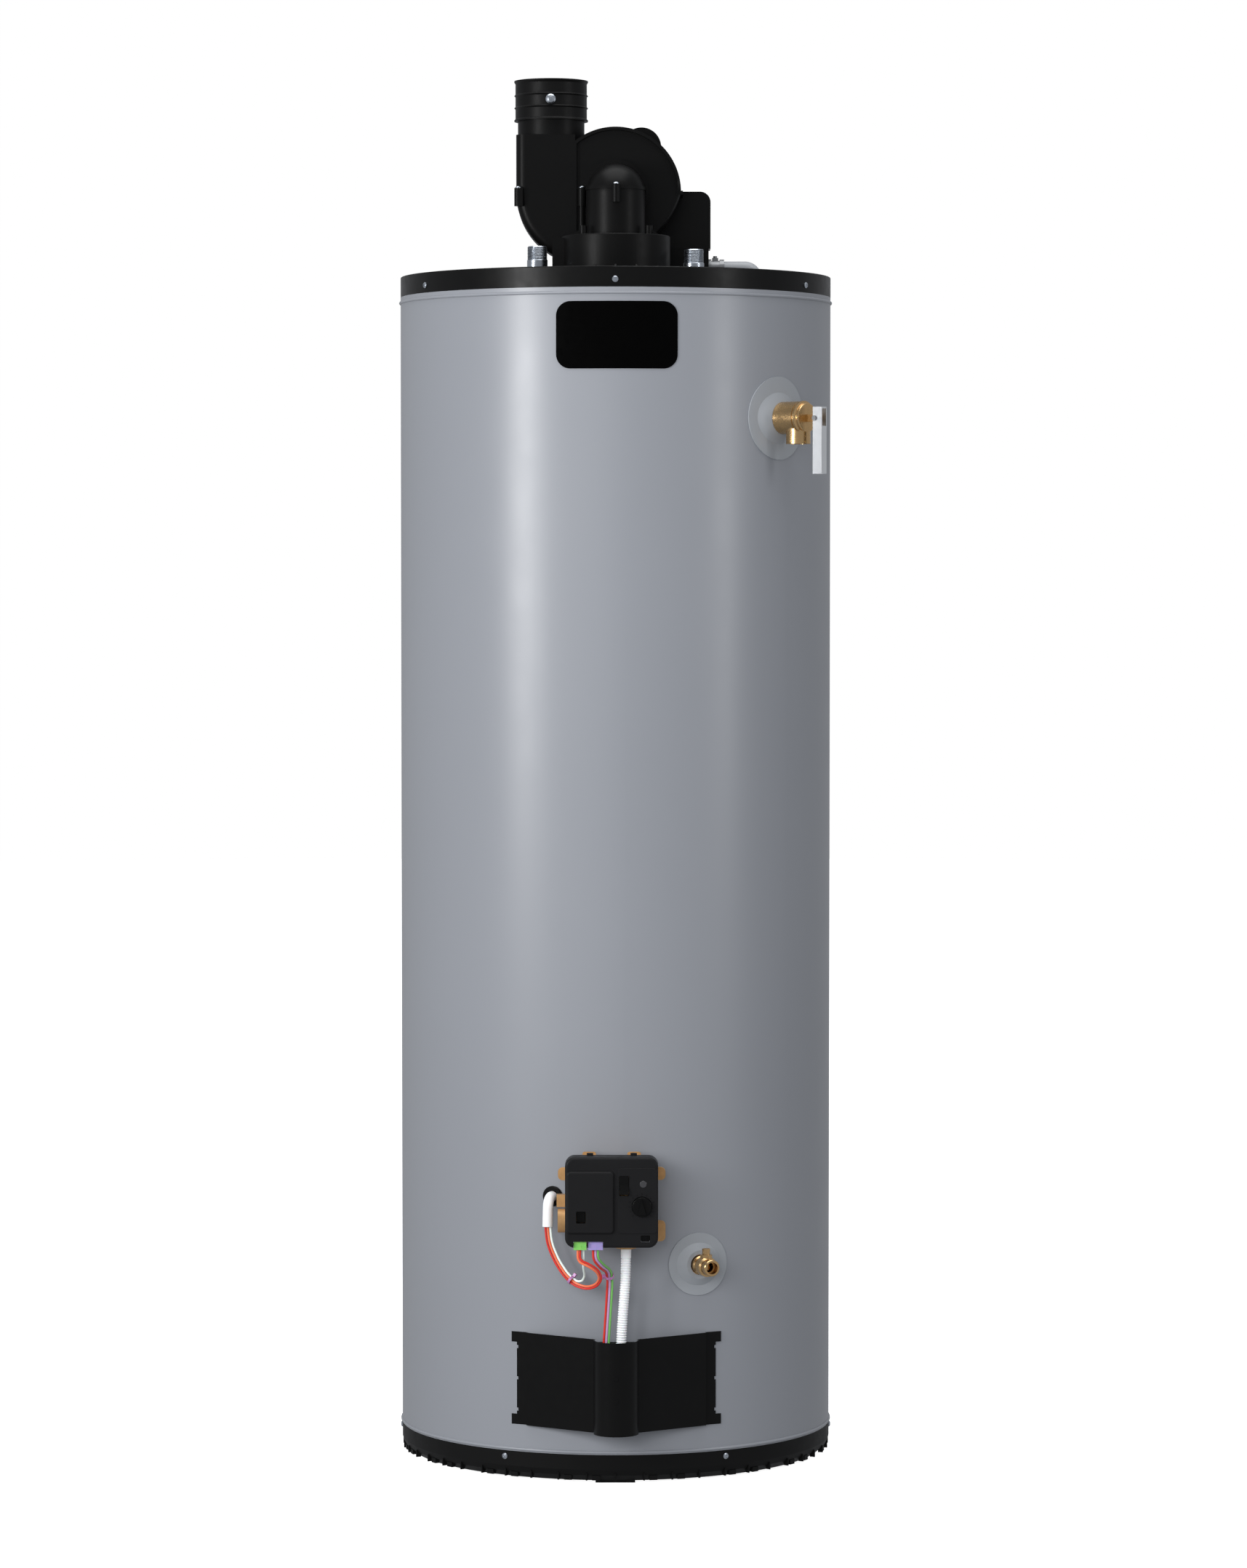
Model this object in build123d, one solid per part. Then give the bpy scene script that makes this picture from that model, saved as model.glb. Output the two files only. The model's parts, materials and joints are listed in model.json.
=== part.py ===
from build123d import *
from math import atan2, cos, degrees, hypot, pi, radians, sin, sqrt
import os

# A tall power-vent gas water heater. Millimetres, +Z up, front towards -Y.
# The origin is on the floor, on the axis of the round body.

# ---------------------------------------------------------------- body stack
JACKET_RADIUS = 279.4        # outside of the painted jacket, 22 in across
BODY_HEIGHT = 1528.0         # floor to the top of the lid
FOOT_HEIGHT = 3.0            # feet stand this far below the base pan
PAN_HEIGHT = 34.0
PAN_WALL = 3.0
PAN_INSET = 11.4             # the pan's lower edge draws in by this
PAN_BAND = 19.0              # plain upright band at the top of the pan
PAN_GUSSETS = 48             # small ribs round the pan's lower edge
FOOT_IN, FOOT_WIDE = 222.0, 50.0
JACKET_WALL = 1.0
HEM = 17.0                   # jacket hem tucked behind the pan and lid rims
FIT = 0.2                    # gap of sheet parts that slide together
BEAD = 2.0                   # rolled bead round each end of the jacket
LID_RIM = 26.0
LID_WALL = 1.2
FOAM = 50.8
TANK_WALL = 2.5
TANK_BOTTOM = 200.0
TANK_SHOULDER = 128.0        # lid top down to the tank's upper weld
HEAD_RISE = 58.0
FLANGE = 16.0
FLUE_RADIUS = 50.8
FLUE_WALL = 3.0

PAN_TOP = FOOT_HEIGHT + PAN_HEIGHT
JACKET_TOP = BODY_HEIGHT - LID_RIM
TANK_RADIUS = JACKET_RADIUS - FOAM
TANK_INSIDE = TANK_RADIUS - TANK_WALL
TANK_TOP = BODY_HEIGHT - TANK_SHOULDER
FRONT = -JACKET_RADIUS
LID_SCREW_Z = BODY_HEIGHT - 16.5
PAN_SCREW_Z = PAN_TOP - 7.5
BADGE_X, BADGE_DROP = 2.0, 59.7      # badge's middle below the lid's rim
BADGE_WIDE, BADGE_TALL, BADGE_CORNER = 152.0, 84.0, 18.0

# ------------------------------------------------------------- water fittings
PIPE_RADIUS = 13.35          # 3/4 in pipe thread
PIPE_BORE = 10.4
THREAD_RADIUS = 13.0         # crests of the thread at a nipple's end
THREAD_LENGTH = 16.3
NIPPLE_SPAN = 203.2          # 8 in between the two nipples
NIPPLE_Y = -8.0
COLD_RISE = 41.0
HOT_RISE = 37.0
DIP_RADIUS = 8.4
ANODE_RADIUS = 10.7
ANODE_LENGTH = 1010.0
ANODE_X, ANODE_Y = -60.0, 150.0

RELIEF_ANGLE = 47.5          # degrees to the right of the front
RELIEF_DROP = 187.0          # below the lid top
RELIEF_DISC = 52.5
RELIEF_BARREL = 21.0
RELIEF_REACH = 49.0
RELIEF_SPOUT = 15.5
RELIEF_SPOUT_DROP = 33.0
RELIEF_SPOUT_BORE = 12.1
RELIEF_SPOUT_OUT = 33.5      # spout's axis in front of the jacket
RELIEF_STEM = 2.0
LEVER_PIN_UP = -1.0
LEVER_PIN_OUT = 15.6         # pin beyond the end of the barrel
LEVER_PIN = 2.0
LEVER_WIDTH = 9.8
LEVER_SHEET = 1.2
LEVER_DEEP = 14.6            # depth of the folded lever's channel
LEVER_RISE, LEVER_DROP = 14.0, 70.0
EAR_RADIUS, EAR_SHEET = 4.6, 1.2

DRAIN_ANGLE = 21.96
DRAIN_HEIGHT = 276.0
DRAIN_DISC = 39.5
DRAIN_REACH = 45.0
DRAIN_STEM = 5.0
RUN_GAP = 0.06               # radial gap of a turning shaft in its bore
DISH = 7.0                   # an escutcheon's dish
DISH_WALL = 1.5
RING_SHEET = 1.6             # thickness of its bent flange

# ------------------------------------------------------------ gas control
CONTROL_X = -4.5
CONTROL_Z = 365.8
CONTROL_WIDTH = 115.6
CONTROL_TALL = 112.6
CONTROL_REACH = 80.6         # cover's face in front of the jacket
CASTING_REACH = 62.0
CASTING_GAP = 6.0
COVER_WALL = 2.2
COVER_DEEP = 30.0
COVER_CORNER = 12.0
LEFT_STEP, RIGHT_STEP = 4.0, 0.8     # the two raised panels of the cover
PANEL_LOW, PANEL_SPLIT = 327.3, 1.0
DIAL_X, DIAL_Z, DIAL_RADIUS = 33.1, 361.0, 12.2
DIAL_SHAFT = 3.0
SWITCH_X, SWITCH_Z = 11.0, 386.8
SWITCH_WIDE, SWITCH_TALL = 11.4, 24.0
SWITCH_TILT = 7.0
LENS_X, LENS_Z, LENS_RADIUS = 34.7, 389.0, 4.4
GAS_PORT_Z = 337.0
GAS_PORT_RADIUS = 10.0       # 1/2 in pipe thread
CONTROL_FACE = FRONT - CONTROL_REACH
CASTING_FACE = FRONT - CASTING_REACH
CONTROL_TOP = CONTROL_Z + CONTROL_TALL / 2
CONTROL_BOTTOM = CONTROL_Z - CONTROL_TALL / 2
CONTROL_LEFT = CONTROL_X - CONTROL_WIDTH / 2
CONTROL_RIGHT = CONTROL_X + CONTROL_WIDTH / 2
TUBE_TOP = (13.5, FRONT - 37.0)      # gas tube's axis at the casting's outlet
GREEN_X, GREEN_WIDE = -43.7, 15.8
LILAC_X, LILAC_WIDE = -24.4, 18.3
PLUG_IN, PLUG_OUT = 7.5, 3.0         # plugs above and below the cover's lower edge
PLUG_DEEP = 12.0
PLUG_FRONT = CONTROL_FACE + 4.0
PLUG_LOW = CONTROL_BOTTOM - PLUG_OUT

GROMMET_X, GROMMET_Z = -78.5, 363.0
GROMMET_ANGLE = degrees(atan2(GROMMET_X, sqrt(JACKET_RADIUS**2 - GROMMET_X**2)))
BOOT_RADIUS = 6.5
BOOT_MOUTH = 5.0             # depth from which the leads show in the boot's mouth
LEAD = 1.4                   # radius of one insulated lead
LEAD_GAP = 3.1               # between the centres of neighbouring leads
LEAD_DROP_X = -12.0          # where the pilot leads go through the inner door
LEAD_OFFSETS = (-LEAD_GAP, 0.0, LEAD_GAP)

# ------------------------------------------------------------ burner and door
DOOR_X = 1.2
DOOR_LOW, DOOR_HIGH = 71.7, 189.1
DOOR_SHEET = 1.0
DOOR_EDGE = 112.8            # where the wings leave the jacket
DOOR_TAB = 132.0
DUCT_HALF = 27.0
DUCT_REACH = 71.0
WING_REACH = 37.0
BURNER_RADIUS = 120.0
BURNER_Z = 158.0
GAS_TUBE = 6.5
MANIFOLD = 6.0
DIMPLES = (144.5, 116.3)     # heights of the two dimples on the outer door

# ------------------------------------------------------------------- blower
COLLAR_RADIUS = 71.0
COLLAR_HEIGHT = 54.6
HOUSING_WALL = 3.0
AXIS_RISE = 113.5            # fan axis above the lid top
ELBOW_RADIUS = 38.2
ELBOW_Y = -8.0
ELBOW_DROP = 4.0             # the elbow's axis lies just under the fan axis
SCROLL_RADIUS = 85.5
SCROLL_FRONT, SCROLL_BACK = 27.0, 97.0
DISC_RECESS = 5.0
DUCT_LEFT, DUCT_RIGHT = -130.0, -53.0
VOLUTE_RADIUS = 92.0
DUCT_ROUND = 12.0
NECK_BASE_RISE = 75.5        # top of the square duct above the fan axis
NECK_RADIUS = 43.65
NECK_INSERT = 14.0           # neck inside the coupling
COUPLING_RISE = 95.4         # underside of the coupling above the fan axis
COUPLING_HEIGHT = 52.7
COUPLING_RADIUS = 46.9
COUPLING_RIB = 1.5
VENT_PIPE = 44.5             # 3 in plastic vent pipe, 88.9 mm across
WHEEL_RADIUS = 60.0
WHEEL_WIDTH = 40.0
WHEEL_BLADES = 28
SHAFT_RADIUS = 4.0
MOTOR_RADIUS = 43.0
MOTOR_LENGTH = 58.0
SWITCH_DISC = 26.0
BOX_LEFT, BOX_RIGHT = 50.0, 125.2
BOX_FRONT, BOX_BACK = 101.0, 150.0
BOX_TALL = 120.0
CONDUIT_RADIUS = 8.0
CONDUIT_RISE = 21.5
CONDUIT_Y = 125.0
CONDUIT_DROP_X = 186.0
CONNECTOR_START, CONNECTOR_END = BOX_RIGHT - 2.5, 143.5
PRESSURE_X, PRESSURE_RISE = 34.0, 64.5

COLLAR_TOP = BODY_HEIGHT + COLLAR_HEIGHT
AXIS_Z = BODY_HEIGHT + AXIS_RISE
SCROLL_Y = (SCROLL_FRONT + SCROLL_BACK) / 2
NECK_BASE = AXIS_Z + NECK_BASE_RISE
NECK_X = DUCT_LEFT + 1.7 + NECK_RADIUS
NECK_Y = SCROLL_FRONT + 0.4 + NECK_RADIUS
COUPLING_LOW = AXIS_Z + COUPLING_RISE
COUPLING_HIGH = COUPLING_LOW + COUPLING_HEIGHT
COUPLING_SCREW_Z = COUPLING_LOW + COUPLING_HEIGHT * 0.4915
SCREW_SEAT = 0.3             # depth of the flat under the coupling screw's head
BOSS_RADIUS = 5.2
BOSS_PLACES = (              # screws that hold the housing's halves together
    (DUCT_LEFT + 3.0, SCROLL_FRONT - 1.5),
    (0.7, ELBOW_Y - ELBOW_RADIUS - 3.5),
    (DUCT_RIGHT + 9.0, SCROLL_FRONT - 6.0),
)
COLLAR_BOSSES = (-42.0, 43.0)
COLLAR_BOSS_Y = -30.0

SCREW_HEAD = 3.9
SCREW_SHANK = 1.9
SCREW_LENGTH = 9.0

STAND = (Align.CENTER, Align.CENTER, Align.MIN)
CORNER = (Align.MIN, Align.MIN, Align.MIN)


# ------------------------------------------------------------ shape helpers
def rod(radius, low, high, x=0.0, y=0.0):
    return Pos(x, y, low) * Cylinder(radius, high - low, align=STAND)


def pipe(outer, inner, low, high, x=0.0, y=0.0):
    return rod(outer, low, high, x, y) - rod(inner, low - 1, high + 1, x, y)


def block(x, y, z):
    """A box between pairs of limits."""
    size = Box(x[1] - x[0], y[1] - y[0], z[1] - z[0], align=CORNER)
    return Pos(x[0], y[0], z[0]) * size


def turned(*outline):
    """A closed outline of (radius, height) points turned about Z."""
    return revolve(Plane.XZ * make_face(Polyline(*outline, close=True)), Axis.Z)


def outward(angle, height, reach=JACKET_RADIUS):
    """Local Z points out of the jacket, local Y up, at an angle right of the front."""
    turn = radians(angle)
    return Plane(
        origin=(reach * sin(turn), -reach * cos(turn), height),
        x_dir=(cos(turn), sin(turn), 0),
        z_dir=(sin(turn), -cos(turn), 0),
    ).location


def along_y(radius, start, end, x, z):
    """A round bar along Y between two Y values."""
    bar = Cylinder(radius, abs(end - start), align=STAND)
    return Pos(x, max(start, end), z) * Rot(90, 0, 0) * bar


def along_x(radius, start, end, y, z):
    """A round bar along X between two X values."""
    bar = Cylinder(radius, end - start, align=STAND)
    return Pos(start, y, z) * Rot(0, 90, 0) * bar


def hexagon(across, low, high):
    return Pos(0, 0, low) * extrude(RegularPolygon(across / 2, 6, major_radius=False), high - low)


def route(name, points, radii, radius):
    """A round cord along straight runs joined by tangent arcs."""
    path = FilletPolyline(*points, radius=radii)
    cord = sweep(Plane(path @ 0, z_dir=path % 0) * Circle(radius), path=path)
    share = cord.volume / (pi * radius**2 * path.length)
    print(name, "length", round(path.length, 1), "radii", [round(r, 1) for r in radii],
          "volume over section times length", round(share, 4))
    return cord


def bend_radii(points):
    """The largest arcs that the runs leave room for."""
    radii = []
    for before, corner, after in zip(points, points[1:], points[2:]):
        first = Vector(*corner) - Vector(*before)
        second = Vector(*after) - Vector(*corner)
        turn = radians(first.get_angle(second))
        radii.append(0.45 * min(first.length, second.length) / (sin(turn / 2) / cos(turn / 2)))
    return radii


def cord_along(name, points, radius, largest=400.0):
    radii = [min(r, largest) for r in bend_radii(points)]
    return route(name, points, radii, radius)


def pan_head_screw():
    """A cross-recessed screw: head above z = 0, shank below."""
    head = turned((0, 0), (SCREW_HEAD, 0), (SCREW_HEAD, 0.9), (SCREW_HEAD * 0.72, 2.0),
                  (0, 2.5))
    shank = rod(SCREW_SHANK, -SCREW_LENGTH, 0.2)
    slot = block((-2.1, 2.1), (-0.45, 0.45), (1.4, 3.0))
    return head + shank - slot - Rot(0, 0, 90) * slot


# ------------------------------------------------------------------ the body
def head_cap(inset):
    """Solid cap of the upper head's outer sphere, drawn in by inset."""
    crown = (TANK_RADIUS**2 + HEAD_RISE**2) / (2 * HEAD_RISE)
    ball = Pos(0, 0, TANK_TOP + HEAD_RISE - crown) * Sphere(crown - inset)
    return ball & rod(TANK_RADIUS, TANK_TOP, TANK_TOP + HEAD_RISE)


def head_height(radius):
    crown = (TANK_RADIUS**2 + HEAD_RISE**2) / (2 * HEAD_RISE)
    return TANK_TOP + HEAD_RISE - crown + sqrt(crown**2 - radius**2)


def water_holes(radius, low, high):
    side = NIPPLE_SPAN / 2
    return rod(radius, low, high, -side, NIPPLE_Y) + rod(radius, low, high, side, NIPPLE_Y)


def side_holes(radius, start, end):
    """Round holes for the relief valve, drain valve and gas control shank."""
    length = end - start
    hole = Cylinder(radius, length, align=STAND)
    relief = outward(RELIEF_ANGLE, BODY_HEIGHT - RELIEF_DROP, start) * hole
    drain = outward(DRAIN_ANGLE, DRAIN_HEIGHT, start) * hole
    control = Pos(CONTROL_X, -start, CONTROL_Z) * Rot(90, 0, 0) * hole
    return relief + drain + control


def door_window(half, margin, reach):
    return block((DOOR_X - half, DOOR_X + half), (FRONT - 20, FRONT + reach),
                 (DOOR_LOW + margin, DOOR_HIGH - margin))


def bead(height):
    section = Pos(JACKET_RADIUS, height) * Circle(BEAD)
    outer_half = Pos(JACKET_RADIUS + BEAD / 2, height) * Rectangle(BEAD + 0.4, 3 * BEAD)
    return revolve(Plane.XZ * (section & outer_half), Axis.Z)


def jacket():
    outside, inside = JACKET_RADIUS, JACKET_RADIUS - JACKET_WALL
    low_hem = JACKET_RADIUS - PAN_WALL - FIT
    high_hem = JACKET_RADIUS - LID_WALL - FIT
    wall = JACKET_WALL
    body = turned(
        (low_hem, PAN_TOP - HEM), (low_hem, PAN_TOP), (outside, PAN_TOP), (outside, JACKET_TOP),
        (high_hem, JACKET_TOP), (high_hem, JACKET_TOP + HEM),
        (high_hem - wall, JACKET_TOP + HEM), (high_hem - wall, JACKET_TOP - wall),
        (inside, JACKET_TOP - wall), (inside, PAN_TOP + wall),
        (low_hem - wall, PAN_TOP + wall), (low_hem - wall, PAN_TOP - HEM),
    )
    body += bead(PAN_TOP + 3) + bead(JACKET_TOP - 7)
    body -= side_holes(PIPE_RADIUS + 1.5, JACKET_RADIUS - 12, JACKET_RADIUS + 6)
    body -= door_window(96, 9, 50)
    body -= outward(GROMMET_ANGLE, GROMMET_Z, JACKET_RADIUS - 10) * Cylinder(
        BOOT_RADIUS + 1.5, 20, align=STAND)
    return body - screw_holes()


def foam_insulation():
    outside = JACKET_RADIUS - JACKET_WALL
    low, high = PAN_TOP + 6, JACKET_TOP - 4
    half = TANK_RADIUS / 2
    outline = Polyline((FLUE_RADIUS, head_height(FLUE_RADIUS)), (FLUE_RADIUS, high), (outside, high),
                       (outside, low), (TANK_RADIUS, low), (TANK_RADIUS, TANK_TOP))
    outline += ThreePointArc((TANK_RADIUS, TANK_TOP), (half, head_height(half)),
                             (FLUE_RADIUS, head_height(FLUE_RADIUS)))
    body = revolve(Plane.XZ * make_face(outline), Axis.Z)
    body -= water_holes(PIPE_RADIUS, TANK_TOP, BODY_HEIGHT)
    body -= rod(ANODE_RADIUS + 9, TANK_TOP, BODY_HEIGHT, ANODE_X, ANODE_Y)
    body -= side_holes(PIPE_RADIUS, TANK_RADIUS - 20, JACKET_RADIUS + 6)
    body -= outward(GROMMET_ANGLE, GROMMET_Z, JACKET_RADIUS - 12) * Cylinder(
        BOOT_RADIUS + 1.5, 30, align=STAND)
    return body - door_window(96, 5, 73)


def lid_plate():
    rim = pipe(JACKET_RADIUS, JACKET_RADIUS - LID_WALL, JACKET_TOP, BODY_HEIGHT)
    top = rod(JACKET_RADIUS, BODY_HEIGHT - LID_WALL, BODY_HEIGHT)
    lid = rim + top
    edge = lid.edges().filter_by(GeomType.CIRCLE).group_by(Axis.Z)[-1]
    lid = fillet(edge, LID_WALL * 0.9)
    lid -= rod(FLUE_RADIUS + 1, BODY_HEIGHT - 5, BODY_HEIGHT + 5)
    lid -= water_holes(PIPE_RADIUS + 1, BODY_HEIGHT - 5, BODY_HEIGHT + 5)
    lid -= rod(CONDUIT_RADIUS + 0.4, BODY_HEIGHT - 5, BODY_HEIGHT + 5, CONDUIT_DROP_X, CONDUIT_Y)
    return lid - screw_holes()


def base_pan():
    low = FOOT_HEIGHT
    foot_radius = JACKET_RADIUS - PAN_INSET
    wall = PAN_WALL
    mid = PAN_TOP - PAN_BAND
    pan = turned(
        (0, low), (foot_radius, low), (JACKET_RADIUS - 3.0, low + 7.5), (JACKET_RADIUS, mid),
        (JACKET_RADIUS, PAN_TOP), (JACKET_RADIUS - wall, PAN_TOP), (JACKET_RADIUS - wall, mid),
        (JACKET_RADIUS - wall - 3.0, low + 8.5), (foot_radius - 1.5, low + wall), (0, low + wall),
    )
    gusset = block((0, 6.4), (-0.9, 0.9), (0, 9.0))
    wide = block((0, 5.6), (-5.0, 5.0), (0, 6.0))
    ribs = []
    for count in range(PAN_GUSSETS):
        angle = 360 * count / PAN_GUSSETS
        ribs.append(Rot(0, 0, angle) * Pos(JACKET_RADIUS - 7.0, 0, low + 1.2) * gusset)
        if count % 3:
            side = Rot(0, 0, angle + 120 / PAN_GUSSETS)
            ribs.append(side * Pos(JACKET_RADIUS - 8.0, 0, low + 1.2) * wide)
    pan += ribs
    pad = block((FOOT_IN, foot_radius - 1.0), (-FOOT_WIDE / 2, FOOT_WIDE / 2), (0, low + 1))
    for angle in (-90, 30, 150):
        pan += Rot(0, 0, angle) * pad
    pan += rod(40, 0, low + 1)
    return pan - screw_holes()


def screw_places():
    places = []
    for step in range(6):
        places.append(outward(60 * step, LID_SCREW_Z))
        places.append(outward(60 * step + 30, PAN_SCREW_Z))
    return places


def screw_holes():
    hole = Pos(0, 0, -SCREW_LENGTH - 1) * Cylinder(SCREW_SHANK, SCREW_LENGTH + 2, align=STAND)
    holes = [place * hole for place in screw_places()]
    return Compound(children=holes)


def jacket_screws():
    return [place * Pos(0, 0, 0.05) * pan_head_screw() for place in screw_places()]


def tank_shell():
    shell = pipe(TANK_RADIUS, TANK_INSIDE, TANK_BOTTOM, TANK_TOP)
    return shell - side_holes(PIPE_RADIUS, TANK_INSIDE - 20, TANK_RADIUS + 20)


def tank_top_head():
    head = head_cap(0) - head_cap(TANK_WALL)
    head -= rod(FLUE_RADIUS, TANK_TOP, BODY_HEIGHT)
    head -= water_holes(PIPE_RADIUS, TANK_TOP, BODY_HEIGHT)
    return head - rod(ANODE_RADIUS, TANK_TOP, BODY_HEIGHT, ANODE_X, ANODE_Y)


def tank_bottom_head():
    rise = HEAD_RISE * 0.7
    edge = TANK_BOTTOM + FLANGE
    crown = (TANK_INSIDE**2 + rise**2) / (2 * rise)
    centre = Pos(0, 0, edge + rise - crown)
    cap = centre * Sphere(crown) - centre * Sphere(crown - TANK_WALL)
    cap &= rod(TANK_INSIDE, edge, edge + rise)
    flange = pipe(TANK_INSIDE, TANK_INSIDE - TANK_WALL, TANK_BOTTOM, edge)
    return cap + flange - rod(FLUE_RADIUS, TANK_BOTTOM, TANK_TOP)


def tank_skirt():
    skirt = pipe(TANK_RADIUS, TANK_RADIUS - 2, FOOT_HEIGHT + PAN_WALL, TANK_BOTTOM)
    return skirt - door_window(80, 16, 120)


def flue_tube():
    low = TANK_BOTTOM + FLANGE + HEAD_RISE * 0.7 - 12
    return pipe(FLUE_RADIUS, FLUE_RADIUS - FLUE_WALL, low, BODY_HEIGHT + 4)


def flue_baffle():
    """A folded strip that hangs in the flue and slows the gas."""
    low, fold, half = TANK_BOTTOM + 130.0, 70.0, FLUE_RADIUS - FLUE_WALL - 12
    count = int((BODY_HEIGHT - 60 - low) / fold)
    points = [(half * (1 if step % 2 else -1), low + fold * step) for step in range(count + 1)]
    strip = trace(Polyline(*points), line_width=1.5)
    body = Pos(0, 12.5, 0) * extrude(Plane.XZ * strip, 25)
    top = points[-1][1]
    hanger = block((-FLUE_RADIUS + FLUE_WALL, FLUE_RADIUS - FLUE_WALL), (-1, 1), (top - 6, top + 2))
    return body + (hanger & rod(FLUE_RADIUS - FLUE_WALL, top - 6, top + 2))


def nipple(x, rise):
    low = head_height(NIPPLE_SPAN / 2) - 30
    top = BODY_HEIGHT + rise
    start = top - 1.0 - THREAD_LENGTH
    outline = [(PIPE_BORE, low), (PIPE_RADIUS, low), (PIPE_RADIUS, start - 0.5),
               (THREAD_RADIUS, start), (THREAD_RADIUS, top - 1.0), (THREAD_RADIUS - 1.0, top),
               (PIPE_BORE, top)]
    return Pos(x, NIPPLE_Y, 0) * turned(*outline)


def dip_tube():
    x, top = -NIPPLE_SPAN / 2, head_height(NIPPLE_SPAN / 2) - 8
    tube = pipe(DIP_RADIUS, DIP_RADIUS - 1.5, TANK_BOTTOM + 110, top, x, NIPPLE_Y)
    return tube + pipe(PIPE_BORE, DIP_RADIUS - 1.5, top, top + 3, x, NIPPLE_Y)


def anode_rod():
    seat = head_height(hypot(ANODE_X, ANODE_Y))
    plug = Pos(ANODE_X, ANODE_Y, 0) * hexagon(27, seat + 5.5, seat + 14)
    return plug + rod(ANODE_RADIUS, seat - ANODE_LENGTH, seat + 6, ANODE_X, ANODE_Y)


# ----------------------------------------------------------- water fittings
def dished_disc(angle, height, radius, hole):
    """A trim ring: a thin flange bent round the jacket and a low cone in its middle."""
    foot = 0.8 * radius
    low = 0.6 - foot**2 / (2 * JACKET_RADIUS)
    place = outward(angle, height)
    span = (height - 2 * radius, height + 2 * radius)
    flange = pipe(JACKET_RADIUS + RING_SHEET, JACKET_RADIUS - 1, *span) & place * rod(radius, -12, 12)
    cone = turned((0, low - 3), (foot, low - 3), (foot, low), (hole + 5, DISH), (0, DISH))
    hollow = turned((0, low - 4), (hole + 14, low - 4), (hole + 14, 0.9),
                    (hole + 5, DISH - DISH_WALL), (0, DISH - DISH_WALL))
    ring = flange + place * cone - place * hollow - place * rod(hole, -40, 40)
    return ring - rod(JACKET_RADIUS, *span)


def relief_place():
    return outward(RELIEF_ANGLE, BODY_HEIGHT - RELIEF_DROP)


def relief_pin_place():
    return relief_place() * Pos(0, LEVER_PIN_UP, RELIEF_REACH + LEVER_PIN_OUT)


def relief_barrel():
    """The valve's round body, its two lever ears and the downward spout, all solid."""
    barrel, reach = RELIEF_BARREL, RELIEF_REACH
    shank = rod(PIPE_RADIUS, TANK_INSIDE - JACKET_RADIUS - 6, 4)
    body = turned((0, 3), (15, 3), (15, DISH + 0.5), (barrel - 1, DISH + 0.5),
                  (barrel - 0.5, DISH + 1), (barrel - 0.5, 38.5), (barrel - 1.5, 39),
                  (barrel - 1.5, 40), (barrel, 40.5), (barrel, 43.5), (barrel - 2.5, 45),
                  (barrel - 2.5, reach - 1), (barrel - 3.5, reach), (0, reach))
    spout = Pos(0, 0, RELIEF_SPOUT_OUT) * Rot(90, 0, 0) * rod(RELIEF_SPOUT, 0, RELIEF_SPOUT_DROP)
    valve = shank + body + spout
    ear = Rot(0, 90, 0) * Cylinder(EAR_RADIUS, EAR_SHEET)
    ear += block((-EAR_SHEET / 2, EAR_SHEET / 2), (-EAR_RADIUS, EAR_RADIUS),
                 (-LEVER_PIN_OUT - 0.5, 0))
    for side in (-1, 1):
        x = side * (RELIEF_STEM + 0.1 + EAR_SHEET / 2)
        valve += Pos(x, LEVER_PIN_UP, reach + LEVER_PIN_OUT) * ear
    return valve


def relief_valve_body():
    valve = relief_barrel()
    valve -= Pos(0, LEVER_PIN_UP, RELIEF_REACH + LEVER_PIN_OUT) * Rot(0, 90, 0) * Cylinder(
        LEVER_PIN, 40)
    valve -= rod(PIPE_BORE - 1, TANK_INSIDE - JACKET_RADIUS - 7, RELIEF_SPOUT_OUT)
    spout_bore = rod(RELIEF_SPOUT_BORE - 3, 0, RELIEF_SPOUT_DROP - 19)
    spout_bore += rod(RELIEF_SPOUT_BORE, RELIEF_SPOUT_DROP - 20, RELIEF_SPOUT_DROP + 1)
    valve -= Pos(0, 0, RELIEF_SPOUT_OUT) * Rot(90, 0, 0) * spout_bore
    return relief_place() * (valve - rod(RELIEF_STEM + RUN_GAP, 20, RELIEF_REACH + 1))


def relief_stem():
    seat = rod(8.0, 19.0, 21.5)
    return relief_place() * (seat + rod(RELIEF_STEM, 21.4, RELIEF_REACH + 2))


def relief_lever_pin():
    half = LEVER_WIDTH / 2 + 1.0
    pin = Rot(0, 90, 0) * Cylinder(LEVER_PIN, 2 * half)
    for side in (-half, half):
        pin += Pos(side, 0, 0) * Rot(0, 90, 0) * Cylinder(3.2, 1.6)
    return relief_pin_place() * pin


def relief_lever():
    """A folded channel that straddles the two ears and hangs in front of the valve."""
    half, sheet = LEVER_WIDTH / 2, LEVER_SHEET
    inner = -3.2
    outer = inner + LEVER_DEEP
    lever = block((-half, half), (-LEVER_DROP, LEVER_RISE), (inner, outer))
    lever -= block((-half + sheet, half - sheet), (-LEVER_DROP - 1, LEVER_RISE + 1),
                   (inner - 1, outer - sheet))
    lever -= block((-half + sheet, half - sheet), (-10, LEVER_RISE - 2), (0, outer + 1))
    lever -= Rot(0, 90, 0) * Cylinder(LEVER_PIN + RUN_GAP, 60)
    return relief_pin_place() * lever


def drain_place():
    return outward(DRAIN_ANGLE, DRAIN_HEIGHT)


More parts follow.
